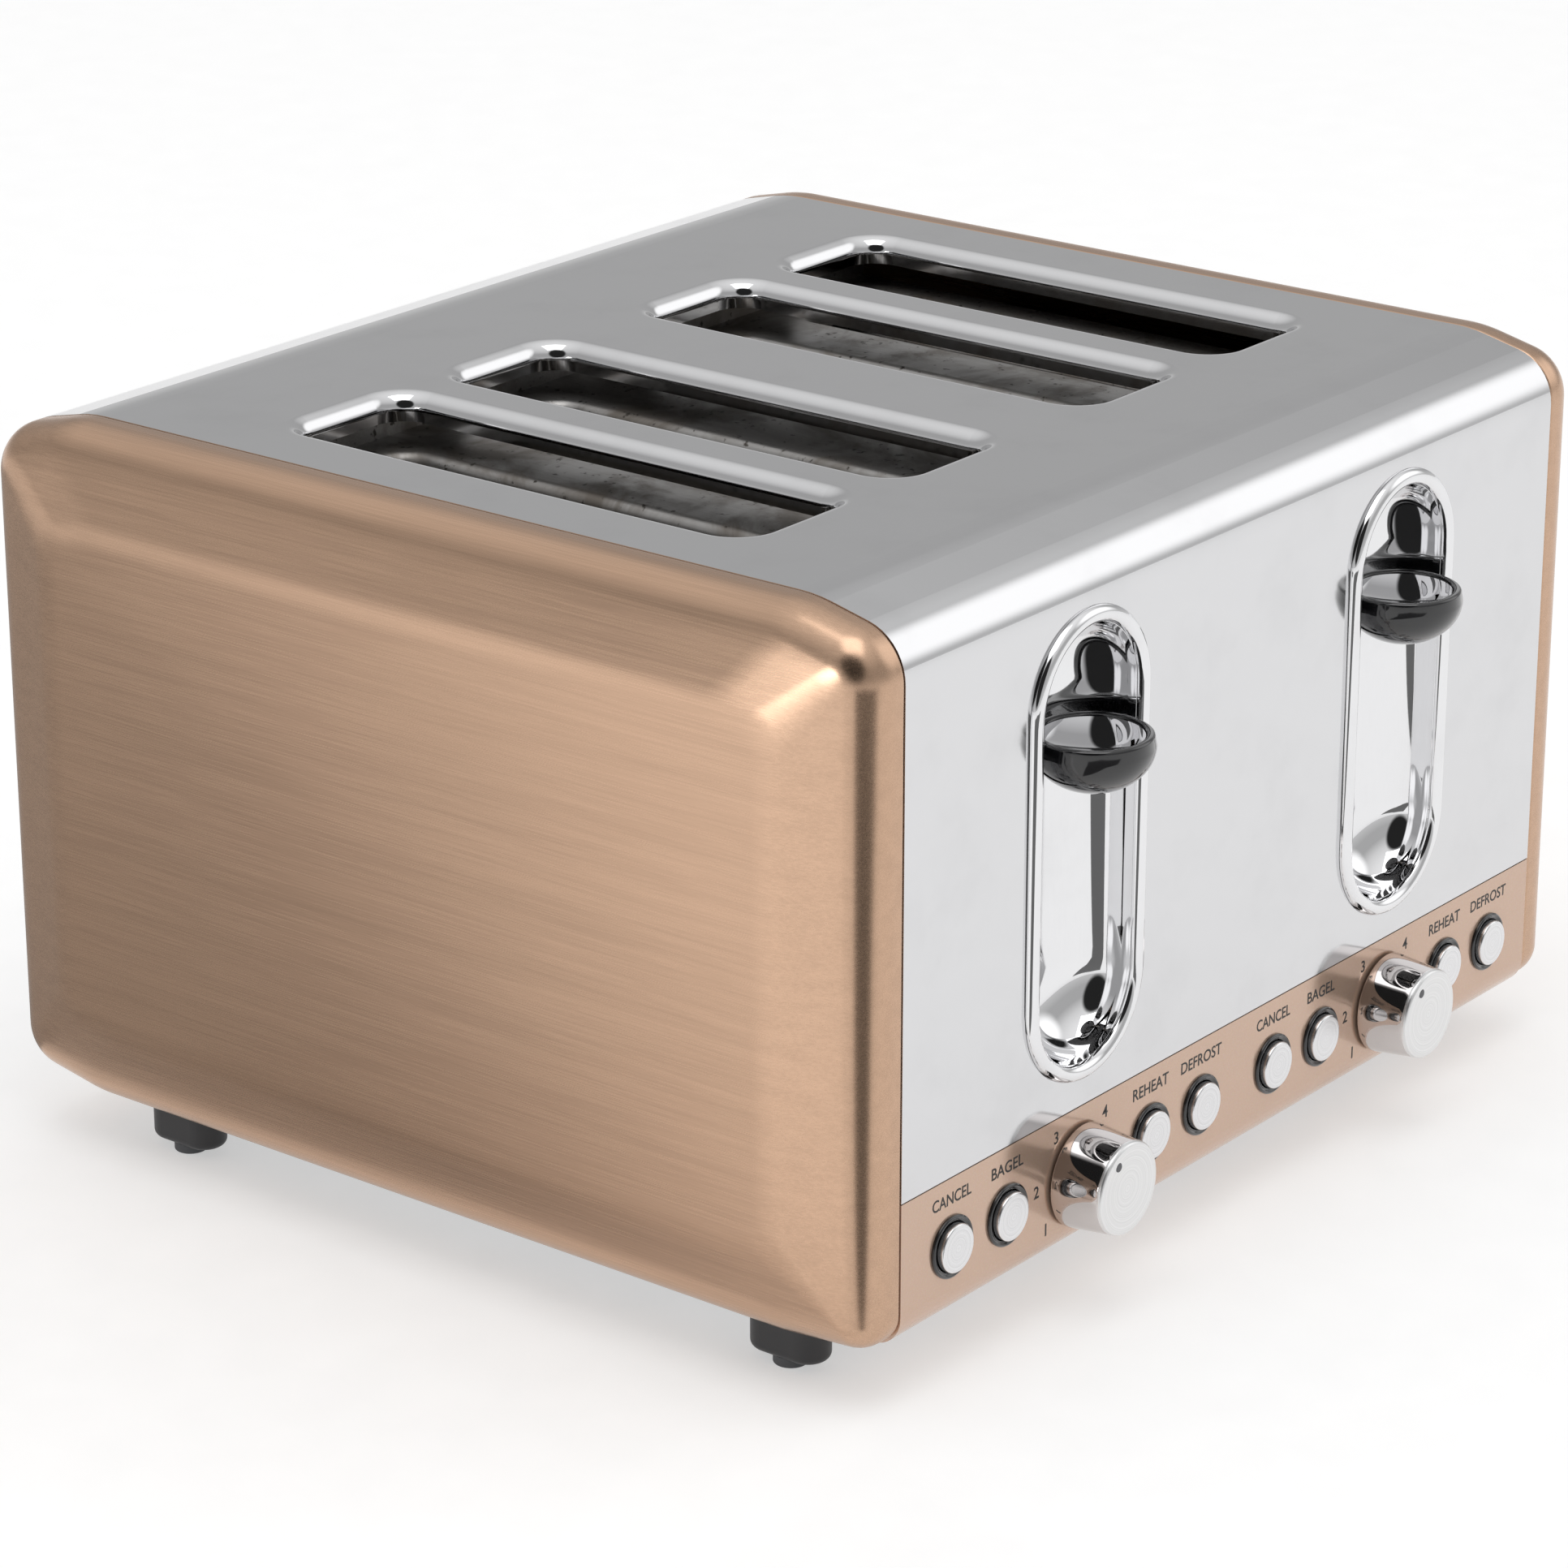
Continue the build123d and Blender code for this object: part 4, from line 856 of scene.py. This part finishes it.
@dataclass
class LeverTrough:
    """A scooped bright trough with a beaded rim, slit for the lever's arm."""

    side: str
    bead: float = 2.5 * MM
    bead_proud: float = 1.2 * MM
    bead_foot: float = 0.35 * MM
    step: float = 0.5 * MM
    step_foot: float = 0.5 * MM
    scoop_start: float = 0.3 * MM
    depth: float = 14.4 * MM
    fullness: float = 2.3
    gauge: float = 0.8 * MM
    slit_shift: float = -6.5 * MM
    slit_width: float = 4.8 * MM
    slit_play: float = 1.5 * MM
    slit_start: float = 4.0 * MM
    arm_under: float = 8.1 * MM
    arm_over: float = 2.1 * MM
    crease: float = 50.0
    arc: int = 40
    run: int = 24

    def section(self, half: float) -> np.ndarray:
        """Section from the rim inwards: reach from the spine and depth behind the front.

        The bead is a half ellipse, then a small step, and the scoop is a superellipse,
        depth = D (1 - (r / R)^n)^(1 / n).

        Args:
            half: Half of the trough's width over the bead.

        Returns:
            The section's points.
        """
        s = np.linspace(0, math.pi, 17)
        waist = self.bead / 2
        bead = np.column_stack([half - waist + waist * np.cos(s), -self.bead_proud * np.sin(s)])
        inner = half - self.bead
        scoop = inner - self.step
        turn = np.linspace(0.02, math.pi / 2, 40)
        reach = scoop * np.cos(turn) ** (2 / self.fullness)
        fall = self.depth * np.sin(turn) ** (2 / self.fullness)
        lead = np.array([[inner, self.bead_foot], [inner - self.step * 0.5, self.step_foot]])
        return np.vstack([bead, lead, np.column_stack([reach, fall + self.scoop_start])[1:-1]])

    def build(self, front: float) -> None:
        """Carry the section round an upright stadium, give it a wall and cut the arm's slit.

        A stadium point at reach r is the spine's end plus r (cos a, sin a), so every ring keeps
        the same turns a and only its reach changes.

        Args:
            front: Y of the wrap's face.
        """
        low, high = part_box(f"{self.side}_lever_channel")
        half = (high.x - low.x) / 2
        middle, level = middle_of(f"{self.side}_lever_channel")[::2]
        section = self.section(half)
        turn = np.linspace(0, math.pi, self.arc + 1)
        run = np.linspace(1, -1, self.run + 2)[1:-1]
        span = high.z - half - level
        still = np.ones(len(turn))
        ahead = np.concatenate([turn, 0 * run + math.pi, turn + math.pi, 0 * run])
        spine = level + span * np.concatenate([still, run, -still, -run])
        reach, fall = section[:, 0, None], section[:, 1, None]
        rows = np.stack([
            middle + reach * np.cos(ahead), front + fall + 0 * ahead,
            spine + reach * np.sin(ahead),
        ], axis=-1)
        made = piece(
            f"{self.side}_trough", self.closed(rows), CHROME,
            stands_for=[f"{self.side}_lever_channel"], crease=self.crease,
        )
        thicken(made, self.gauge, 1.0)
        self.cut(made, middle, front)

    def closed(self, rows: np.ndarray) -> Surface:
        """Close the scoop's floor with a strip between the two halves of its innermost ring.

        Args:
            rows: The rings, rim first.

        Returns:
            The whole surface.
        """
        skin = grid(rows)
        wide = rows.shape[1]
        ring = np.roll(np.arange(wide) + (rows.shape[0] - 1) * wide, -self.arc // 2)
        left, right = ring[: wide // 2 + 1], np.append(ring[:1], ring[::-1][: wide // 2])
        quads = np.stack([left[:-1], left[1:], right[1:], right[:-1]], -1).tolist()
        corners = [tuple(dict.fromkeys(quad)) for quad in quads]
        skin.faces += [face for face in corners if len(face) > 2]
        return skin

    def cut(self, made: bpy.types.Object, middle: float, front: float) -> None:
        """Cut the slit that the lever's arm rises and falls in.

        Args:
            made: The trough.
            middle: X of its middle.
            front: Y of the wrap's face.
        """
        lever = next(item for item in frame["joints"] if item["name"] == f"{self.side}_lever")
        down, up = lever["range_m"]
        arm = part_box(f"{self.side}_carriage")[1].z
        foot = arm - self.arm_under + down - self.slit_play
        top = arm - self.arm_over + up + self.slit_play
        x, half = middle + self.slit_shift, self.slit_width / 2
        near, far = front + self.slit_start, front + 3 * self.depth
        mesh = bpy.data.meshes.new("slit")
        corners = list(product((x - half, x + half), (near, far), (foot, top)))
        mesh.from_pydata(corners, [], [
            (0, 1, 3, 2), (4, 6, 7, 5), (0, 4, 5, 1), (2, 3, 7, 6), (0, 2, 6, 4), (1, 5, 7, 3)
        ])
        cutter = stand("slit", mesh)
        tool = made.modifiers.new("slit", "BOOLEAN")
        tool.operation = "DIFFERENCE"
        tool.solver = "EXACT"
        tool.object = cutter
        bpy.context.view_layer.update()
        graph = bpy.context.evaluated_depsgraph_get()
        finished = bpy.data.meshes.new_from_object(made.evaluated_get(graph))
        made.modifiers.clear()
        made.data = finished
        finished.set_sharp_from_angle(angle=math.radians(self.crease))
        bpy.data.objects.remove(cutter)


@dataclass
class LeverKnob:
    """A glossy bowl with a rolled rim round a bright, slightly dished cap."""

    side: str
    rim_width: float = 2.1 * MM
    shoulder: float = 3.0 * MM
    waist_extra: float = 0.4 * MM
    recess: float = 0.7 * MM
    dish: float = 1.5 * MM
    cap_gauge: float = 0.4 * MM
    rim_flat: float = 0.8
    gap: float = 0.1 * MM
    core: float = 1.0 * MM
    pip: float = 0.8 * MM

    def build(self) -> None:
        """Turn the bowl and the cap about the knob's own upright axis.

        The bowl is a quarter ellipse, r = R sin t and z = -d cos t, then a leaning shoulder and
        a half-round rim. The cap falls by dish * (1 - (r / R)^2) towards its middle.
        """
        low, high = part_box(f"{self.side}_lever_knob")
        centre = (*middle_of(f"{self.side}_lever_knob")[:2], 0.0)
        widest = (high.x - low.x) / 2
        lean = widest - self.waist_extra
        waist = high.z - self.shoulder
        t = np.linspace(0.06, math.pi / 2, 22)
        bowl = np.column_stack([widest * np.sin(t), waist - (waist - low.z) * np.cos(t)])
        half = self.rim_width / 2
        tall = half * self.rim_flat
        s = np.linspace(0, math.pi, 15)
        rim = np.column_stack([lean - half + half * np.cos(s), high.z - tall + tall * np.sin(s)])
        inner = lean - self.rim_width
        under = high.z - self.recess - self.dish - self.cap_gauge
        well = [[inner, under - self.gap], [self.core, under - self.gap]]
        radius = np.linspace(inner - self.gap, self.pip, 16)
        fall = self.dish * (1 - (radius / inner) ** 2)
        top = np.column_stack([radius, high.z - self.recess - fall])
        foot = [[self.pip, under], [inner - self.gap, under]]
        for name, rows, finish, slot, node in (
            ("bowl", [bowl, rim, well], GLOSS_BLACK, Slot.GLOSS, "lever_knob"),
            ("cap", [foot, top], CHROME, Slot.CHROME, "lever_cap"),
        ):
            piece(
                f"{self.side}_knob_{name}", turned(np.vstack(rows), centre, (0, 0, 1), 96),
                finish, f"{self.side}_lift", [f"{self.side}_{node}"],
            )


@dataclass
class Dial:
    """A tapered bright dial with a satin dished face, a grey dot and a dark skirt."""

    side: str
    base: float = 12.8 * MM
    top: float = 11.4 * MM
    lift: float = 0.6 * MM
    edge: float = 1.3 * MM
    dish_radius: float = 9.9 * MM
    dish: float = 0.55 * MM
    bore: float = 8.0 * MM
    core: float = 2.0 * MM
    foot_round: float = 0.5 * MM
    lap: float = 0.4 * MM
    pip: float = 0.3 * MM
    dot_radius: float = 1.15 * MM
    dot_core: float = 0.2 * MM
    dot_sunk: float = 0.3 * MM
    dot_proud: float = 0.12 * MM
    dot_reach: float = 8.2 * MM
    dot_turn: float = math.radians(-32.0)

    def build(self, front: float, places: tuple[float, float]) -> None:
        """Turn the skirt, body, face and dot about the dial's axis, which points forwards.

        Args:
            front: Y of the control strip's face.
            places: X and Z of the dial's middle.
        """
        x, z = places
        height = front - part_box(f"{self.side}_dial")[0].y
        body = f"{self.side}_dial"
        centre, axis = (x, front, z), (0, -1, 0)
        neck = height - self.edge
        lean = (self.base - self.top) / (height - self.lift)
        shoulder = self.top + lean * self.edge
        side_wall = rounded(
            [(self.bore, self.lift), (self.base, self.lift), (shoulder, neck), (self.core, neck)],
            [0, self.foot_round, 0.05 * MM, 0], 5,
        )
        levels = np.linspace(0.1, 0.9, 8)[:, None]
        first = np.array([self.base, self.lift + self.foot_round])
        last = np.array([shoulder, neck])
        wall = np.vstack([side_wall[:7], first + (last - first) * levels, side_wall[7:]])
        piece(
            f"{self.side}_dial_body", turned(wall, centre, axis, 120), SMOKED_CHROME,
            body, [f"{self.side}_dial"],
        )
        rim = rounded(
            [(self.core, neck - self.lap), (shoulder, neck - self.lap), (self.top, height),
             (self.dish_radius, height)],
            [0, 0.1 * MM, self.edge * 0.8, 0], 8,
        )
        radius = np.linspace(self.dish_radius, self.pip, 14)[1:]
        fall = self.dish * (1 - (radius / self.dish_radius) ** 2)
        face = np.vstack([rim, np.column_stack([radius, height - fall])])
        piece(
            f"{self.side}_dial_face", turned(face, centre, axis, 120), SATIN_FACE,
            body,
        )
        spot = (
            x + self.dot_reach * math.sin(self.dot_turn), front,
            z + self.dot_reach * math.cos(self.dot_turn),
        )
        depth = height - self.dish * (1 - (self.dot_reach / self.dish_radius) ** 2)
        foot, crest = depth - self.dot_sunk, depth + self.dot_proud
        dot = rounded(
            [(self.dot_core, foot), (self.dot_radius, foot), (self.dot_radius, crest),
             (self.dot_core, crest)],
            [0, 0, 0.1 * MM, 0], 3,
        )
        piece(f"{self.side}_dial_dot", turned(dot, spot, axis, 32), DOT_INK, body)


@dataclass
class Buttons:
    """Eight spun caps in dark glossy rings."""

    names: tuple[str, ...] = ("cancel", "bagel", "reheat", "defrost")
    ring: float = 7.65 * MM
    ring_proud: float = 0.9 * MM
    ring_inner: float = 6.2 * MM
    ring_groove: float = 0.5 * MM
    cap: float = 5.9 * MM
    cap_edge: float = 0.55 * MM
    cap_hollow: float = 0.12 * MM
    sunk: float = 3.0 * MM
    core: float = 1.0 * MM
    pip: float = 0.3 * MM
    ring_back: float = 0.2 * MM
    ring_wall: float = 0.8 * MM

    def places(self) -> dict[str, tuple[float, float]]:
        """X and Z of each button's middle, from its CAD node's box."""
        names = [f"{side}_{name}" for side in SIDES for name in self.names]
        return {name: middle_of(f"{name}_button")[::2] for name in names}

    def build(self, front: float) -> None:
        """Turn each cap, with a slightly hollow top, and one ring for every button.

        Args:
            front: Y of the control strip's face.
        """
        rings: Optional[Surface] = None
        axis = (0, -1, 0)
        for name, (x, z) in self.places().items():
            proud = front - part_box(f"{name}_button")[0].y
            radius = np.linspace(self.cap - self.cap_edge, self.pip, 9)
            hollow = self.cap_hollow * (1 - (radius / self.cap) ** 2)
            skirt = rounded(
                [(self.core, -self.sunk), (self.cap, -self.sunk), (self.cap, proud),
                 (self.cap - self.cap_edge * 1.2, proud)],
                [0, 0, self.cap_edge, 0], 6,
            )
            shape = np.vstack([skirt, np.column_stack([radius, proud - hollow])[1:]])
            piece(
                f"{name}_cap", turned(shape, (x, front, z), axis, 64), SPUN_CAP,
                f"{name}_button", [f"{name}_button"],
            )
            outer = rounded(
                [(self.ring, -self.ring_back), (self.ring, self.ring_proud * 0.6),
                 (self.ring - 0.5 * MM, self.ring_proud),
                 (self.ring_inner + 0.35 * MM, self.ring_groove),
                 (self.ring_inner, self.ring_groove * 0.7), (self.ring_inner, -self.sunk)],
                [0, 0.35 * MM, 0.4 * MM, 0.2 * MM, 0.05 * MM, 0], 5,
            )
            back = self.ring - self.ring_wall
            hoop = np.vstack([outer, [[back, -self.sunk], [back, -self.ring_back]]])
            skin = turned(hoop, (x, front, z), axis, 64, solid=False)
            rows, chart = [data.reshape(len(hoop), 64, -1) for data in (skin.points, skin.chart)]
            made = grid(rows, round_rows=True, chart=chart)
            rings = made if rings is None else rings + made
        piece("button_bezels", rings, GLOSS_BLACK, stands_for=["button_rings"])


@dataclass
class Printing:
    """Function words above the buttons and numbers round the dials, printed on the strip."""

    word_rise: float = 12.0 * MM
    word_height: float = 3.0 * MM
    letter_width: float = 2.45 * MM
    number_height: float = 3.1 * MM
    number_reach: float = 17.3 * MM
    number_squash: float = 2.3 * MM
    numbers: tuple[tuple[str, float], ...] = (
        ("1", -130), ("2", -85), ("3", -34), ("4", 35), ("5", 85), ("6", 130)
    )
    film: float = 0.04 * MM
    weight: float = 0.01

    def text(
        self, words: str, height: float, width: float, middle: tuple[float, float], front: float
    ) -> Surface:
        """A line of lettering as a thin solid film on the strip.

        Args:
            words: The letters.
            height: Their height.
            width: The line's width, or 0 to keep the letters' own shape.
            middle: X and Z of the line's middle.
            front: Y of the strip's face.

        Returns:
            The film's surface.
        """
        curve = bpy.data.curves.new("letters", "FONT")
        curve.body = words
        curve.extrude = 0.5
        curve.offset = self.weight
        curve.resolution_u = 4
        holder = bpy.data.objects.new("letters", curve)
        mesh = bpy.data.meshes.new_from_object(holder)
        points = np.zeros(len(mesh.vertices) * 3)
        mesh.vertices.foreach_get("co", points)
        points = points.reshape(-1, 3)
        faces = [tuple(face.vertices) for face in mesh.polygons]
        bpy.data.objects.remove(holder)
        bpy.data.meshes.remove(mesh)
        bpy.data.curves.remove(curve)
        low, high = points.min(axis=0), points.max(axis=0)
        local = points - (low + high) / 2
        tall = height / (high[1] - low[1])
        wide = width / (high[0] - low[0]) if width else tall
        placed = np.column_stack([
            middle[0] + local[:, 0] * wide,
            front - self.film / 2 - local[:, 2] * self.film,
            middle[1] + local[:, 1] * tall,
        ])
        return Surface(placed, faces, np.zeros((len(placed), 2)))

    def build(
        self, front: float, buttons: Buttons, dials: Mapping[str, tuple[float, float]]
    ) -> None:
        """Print each side's words and numbers as one piece.

        Args:
            front: Y of the strip's face.
            buttons: The buttons, for their places.
            dials: X and Z of each dial's middle.
        """
        for side, (dial_x, dial_z) in dials.items():
            films = []
            for name, (x, z) in buttons.places().items():
                where, word = name.split("_")
                if where == side:
                    span, spot = self.letter_width * len(word), (x, z + self.word_rise)
                    films.append(self.text(word.upper(), self.word_height, span, spot, front))
            for number, turn in self.numbers:
                angle = math.radians(turn)
                spot = (
                    dial_x + self.number_reach * math.sin(angle),
                    dial_z + (self.number_reach - self.number_squash) * math.cos(angle),
                )
                films.append(self.text(number, self.number_height, 0.0, spot, front))
            whole = films[0]
            for film in films[1:]:
                whole = whole + film
            piece(f"{side}_printing", whole, BLACK_INK, outward=False)


@dataclass
class HeaterWindings:
    """Flat resistance ribbon wound across both faces of each mica board."""

    turns: int = 9
    width: float = 1.6 * MM
    gauge: float = 0.15 * MM
    margin: float = 9.0 * MM
    edge: float = 0.6 * MM

    def build(self) -> None:
        """Wind each board: a turn runs along one face, round the edge and back, sinking evenly.

        A ribbon's middle at share s of a turn is on the one face for s < 1/2 and on the other
        after, at height z = top - turn * pitch - s * pitch.
        """
        for number in range(1, 7):
            low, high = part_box(f"heater_board_{number}")
            proud = (high.x - low.x) / 2 + self.gauge
            top, foot = high.z - self.margin, low.z + self.margin
            pitch = (top - foot) / self.turns
            front, rear = low.y + self.edge, high.y - self.edge
            lap = np.array([
                (proud, front, 0.0), (proud, rear, 0.45), (-proud, rear, 0.5),
                (-proud, front, 0.95),
            ])
            laps = np.vstack([lap + (0, 0, turn) for turn in range(self.turns)])
            path = laps * (1, 1, -pitch) + ((low.x + high.x) / 2, 0, top)
            across = np.array([0, 0, self.width / 2])
            inward = -np.sign(laps) * (self.gauge, 0, 0)
            ring = np.stack([
                path + across, path - across, path - across + inward, path + across + inward
            ], axis=1)
            piece(
                f"heater_winding_{number}",
                grid(ring, start=ring[0].mean(axis=0), end=ring[-1].mean(axis=0)),
                RIBBON, crease=20.0,
            )


# ------------------------------------------------------------------ studio
@dataclass
class Studio:
    """A pale floor, floor cards that paint shade into reflections only, soft light and the
    camera.
    """

    floor_reach: float = 12.0
    floor_greys: tuple[float, float] = (0.62, 0.65)
    floor_glow: float = 0.72
    card_height: float = 2 * MM
    # Glow of the reflection-only cards, part of their painted reflection.
    reflection_card_glow: float = 0.35
    eye: tuple[float, float, float] = (-0.9957, -0.7742, 0.5536)
    aim: tuple[float, float, float] = (-0.0066, 0.0043, 0.0818)
    lens: float = 122.2
    film: float = 36.0
    sky: tuple[tuple[float, float], ...] = (
        (0.0, 0.95), (0.5, 0.62), (0.60, 0.46), (0.72, 0.46), (0.84, 0.75), (1.0, 1.0)
    )
    patches: tuple[tuple[tuple[float, float, float], float, float, float], ...] = (
        ((0.754, -0.470, 0.459), 0.89, 0.985, 1.4),
        ((-0.754, -0.450, 0.480), 0.86, 0.92, 0.02),
    )

    def facing(
        self, name: str, data: Any, place: Sequence[float], target: Sequence[float]
    ) -> bpy.types.Object:
        """A camera or a light that stands at a place and faces a target."""
        made = stand(name, data)
        made.location = place
        gaze = Vector(target) - Vector(place)
        made.rotation_euler = gaze.to_track_quat("-Z", "Y").to_euler()
        return made

    def camera(self) -> None:
        """A long lens from the front left, a little above."""
        data = bpy.data.cameras.new("camera")
        data.lens = self.lens
        data.sensor_width = self.film
        data.clip_end = 50.0
        bpy.context.scene.camera = self.facing("camera", data, self.eye, self.aim)

    def softbox(
        self, name: str, place: Sequence[float], target: Sequence[float],
        size: tuple[float, float], power: float,
    ) -> None:
        """A rectangular light that faces a point.

        Args:
            name: Its name.
            place: Where it stands.
            target: The point that it faces.
            size: Its width and height.
            power: Its power in watts.
        """
        data = bpy.data.lights.new(name, "AREA")
        data.shape = "RECTANGLE"
        data.size, data.size_y = size
        data.energy = power
        self.facing(name, data, place, target)

    def sheet(
        self, name: str, corners: Sequence[tuple[float, float]], height: float, graph: Graph,
        share: Wire, greys: tuple[float, float], glow: float,
    ) -> bpy.types.Object:
        """A staged matt sheet that lies flat and glows a little.

        Args:
            name: Its name.
            corners: X and Y of its corners.
            height: How high it lies.
            graph: Its material's nodes.
            share: How its two greys mix.
            greys: Its greys.
            glow: Strength of its glow.

        Returns:
            The sheet.
        """
        mesh = bpy.data.meshes.new(name)
        mesh.from_pydata([(x, y, height) for x, y in corners], [], [tuple(range(len(corners)))])
        colour = graph.mix(share, *[(grey, grey, grey) for grey in greys])
        mesh.materials.append(graph.surface(
            Base_Color=colour, Roughness=0.9, Emission_Color=colour, Emission_Strength=glow
        ))
        made = stand(name, mesh)
        return made

    def card(
        self, name: str, corners: Sequence[tuple[float, float]], colours: tuple[float, float],
        run: tuple[float, float], lean: float = 0.0,
    ) -> None:
        """A staged card lying on the floor that only reflections see: its greys and glow are
        painted reflection, shade mirrored in the metal.

        Args:
            name: Its name.
            corners: X and Y of its corners.
            colours: Its grey before and after the run.
            run: Y, plus lean times X, between which the grey changes.
            lean: How much the run leans.
        """
        graph = Graph(f"look_{name}")
        place = graph.along(graph.place(1.0), (lean, 1.0, 0.0))
        share = graph.between(*run, place)
        made = self.sheet(name, corners, self.card_height, graph, share, colours, self.reflection_card_glow)
        made.visible_camera = False
        made.visible_shadow = False
        made.visible_diffuse = False

    def world(self) -> None:
        """A soft sky that darkens towards the horizon, with a pale and a dark patch."""
        graph = Graph("studio", sky=True)
        bpy.context.scene.world = graph.block
        where = graph.node("ShaderNodeTexCoord", output="Generated")
        level = graph.node(
            "ShaderNodeValToRGB", {"stops": [(at, (grey, grey, grey)) for at, grey in self.sky]},
            {0: graph.along(where, (0.0, 0.0, 0.5)) + 0.5},
        )
        for direction, outer, inner, grey in self.patches:
            share = graph.between(outer, inner, graph.along(where, direction))
            level = graph.mix(share, level, (grey, grey, grey))
        sky = graph.node("ShaderNodeBackground", inputs={"Color": level})
        output = graph.tree.nodes.new("ShaderNodeOutputWorld")
        graph.tree.links.new(sky.socket, output.inputs["Surface"])

    def floor(self) -> None:
        """A wide pale floor with a fine matt grain."""
        reach = self.floor_reach
        corners = [(-reach, -reach), (reach, -reach), (reach, reach), (-reach, reach)]
        graph = Graph("look_floor")
        grain = graph.noise(60.0, detail=2.0)
        self.sheet("floor", corners, 0.0, graph, grain, self.floor_greys, self.floor_glow)

    def build(self) -> None:
        """Set the stage, the lights and the camera."""
        self.world()
        self.floor()
        self.camera()
        middle = (0.0, 0.0, 0.1)
        self.softbox("bevel", (-2.2, 0.5, 0.32), middle, (0.7, 0.35), 5.5)
        self.softbox("top", (-0.5, -0.4, 2.4), middle, (1.6, 1.6), 12.0)
        # Painted dark reflection: a dark card in front, seen only in reflections, paints a dark
        # strip into the troughs and the lower bends.
        self.card("front_dark_reflection_card", [
            (-0.16, -0.15), (-0.90, -0.55), (-0.90, -1.10), (-0.13, -1.10), (-0.22, -0.40)
        ], (0.10, 0.10), (-0.9, -0.1))
        # Painted reflection shade: a card whose grey falls from 0.95 to 0.33 towards the rear and
        # towards the body. It is seen only in the side panels, and darkens their rear and lower
        # parts.
        self.card("side_shade_reflection_card", [
            (-0.158, -0.14), (-0.158, 0.16), (0.30, 0.16), (0.30, 0.90), (-1.20, 0.90),
            (-1.20, -0.14),
        ], (0.95, 0.33), (-0.42, -0.15), 1.2)
        scene = bpy.context.scene
        scene.view_settings.view_transform = "Standard"
        scene.view_settings.look = "None"


# ------------------------------------------------------------------ the whole
def dress_nodes(nodes: Mapping[str, bpy.types.Object]) -> None:
    """Give each CAD node the finish of its material slot.

    Args:
        nodes: The CAD nodes by name.
    """
    for name, node in nodes.items():
        for holder in node.material_slots:
            slot = Slot(holder.material.name.split(".")[0])
            holder.material = SLOT_FINISHES[slot].material()
        LOG.info("%s: dressed", name)


def main() -> None:
    """Build the studio, dress the CAD nodes and build each sub-assembly."""
    logging.basicConfig(level=logging.INFO, format="%(name)s %(message)s")
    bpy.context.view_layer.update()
    Studio().build()
    dress_nodes(frame["nodes"])
    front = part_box("wrap_cover")[0].y
    dials = {side: middle_of(f"{side}_dial")[::2] for side in SIDES}
    buttons = Buttons()
    for side in SIDES:
        SidePanel(side).build()
        LeverTrough(side).build(front)
        LeverKnob(side).build()
        Dial(side).build(front, dials[side])
    buttons.build(front)
    Printing().build(front, buttons, dials)
    HeaterWindings().build()


if __name__ == "__main__":
    main()
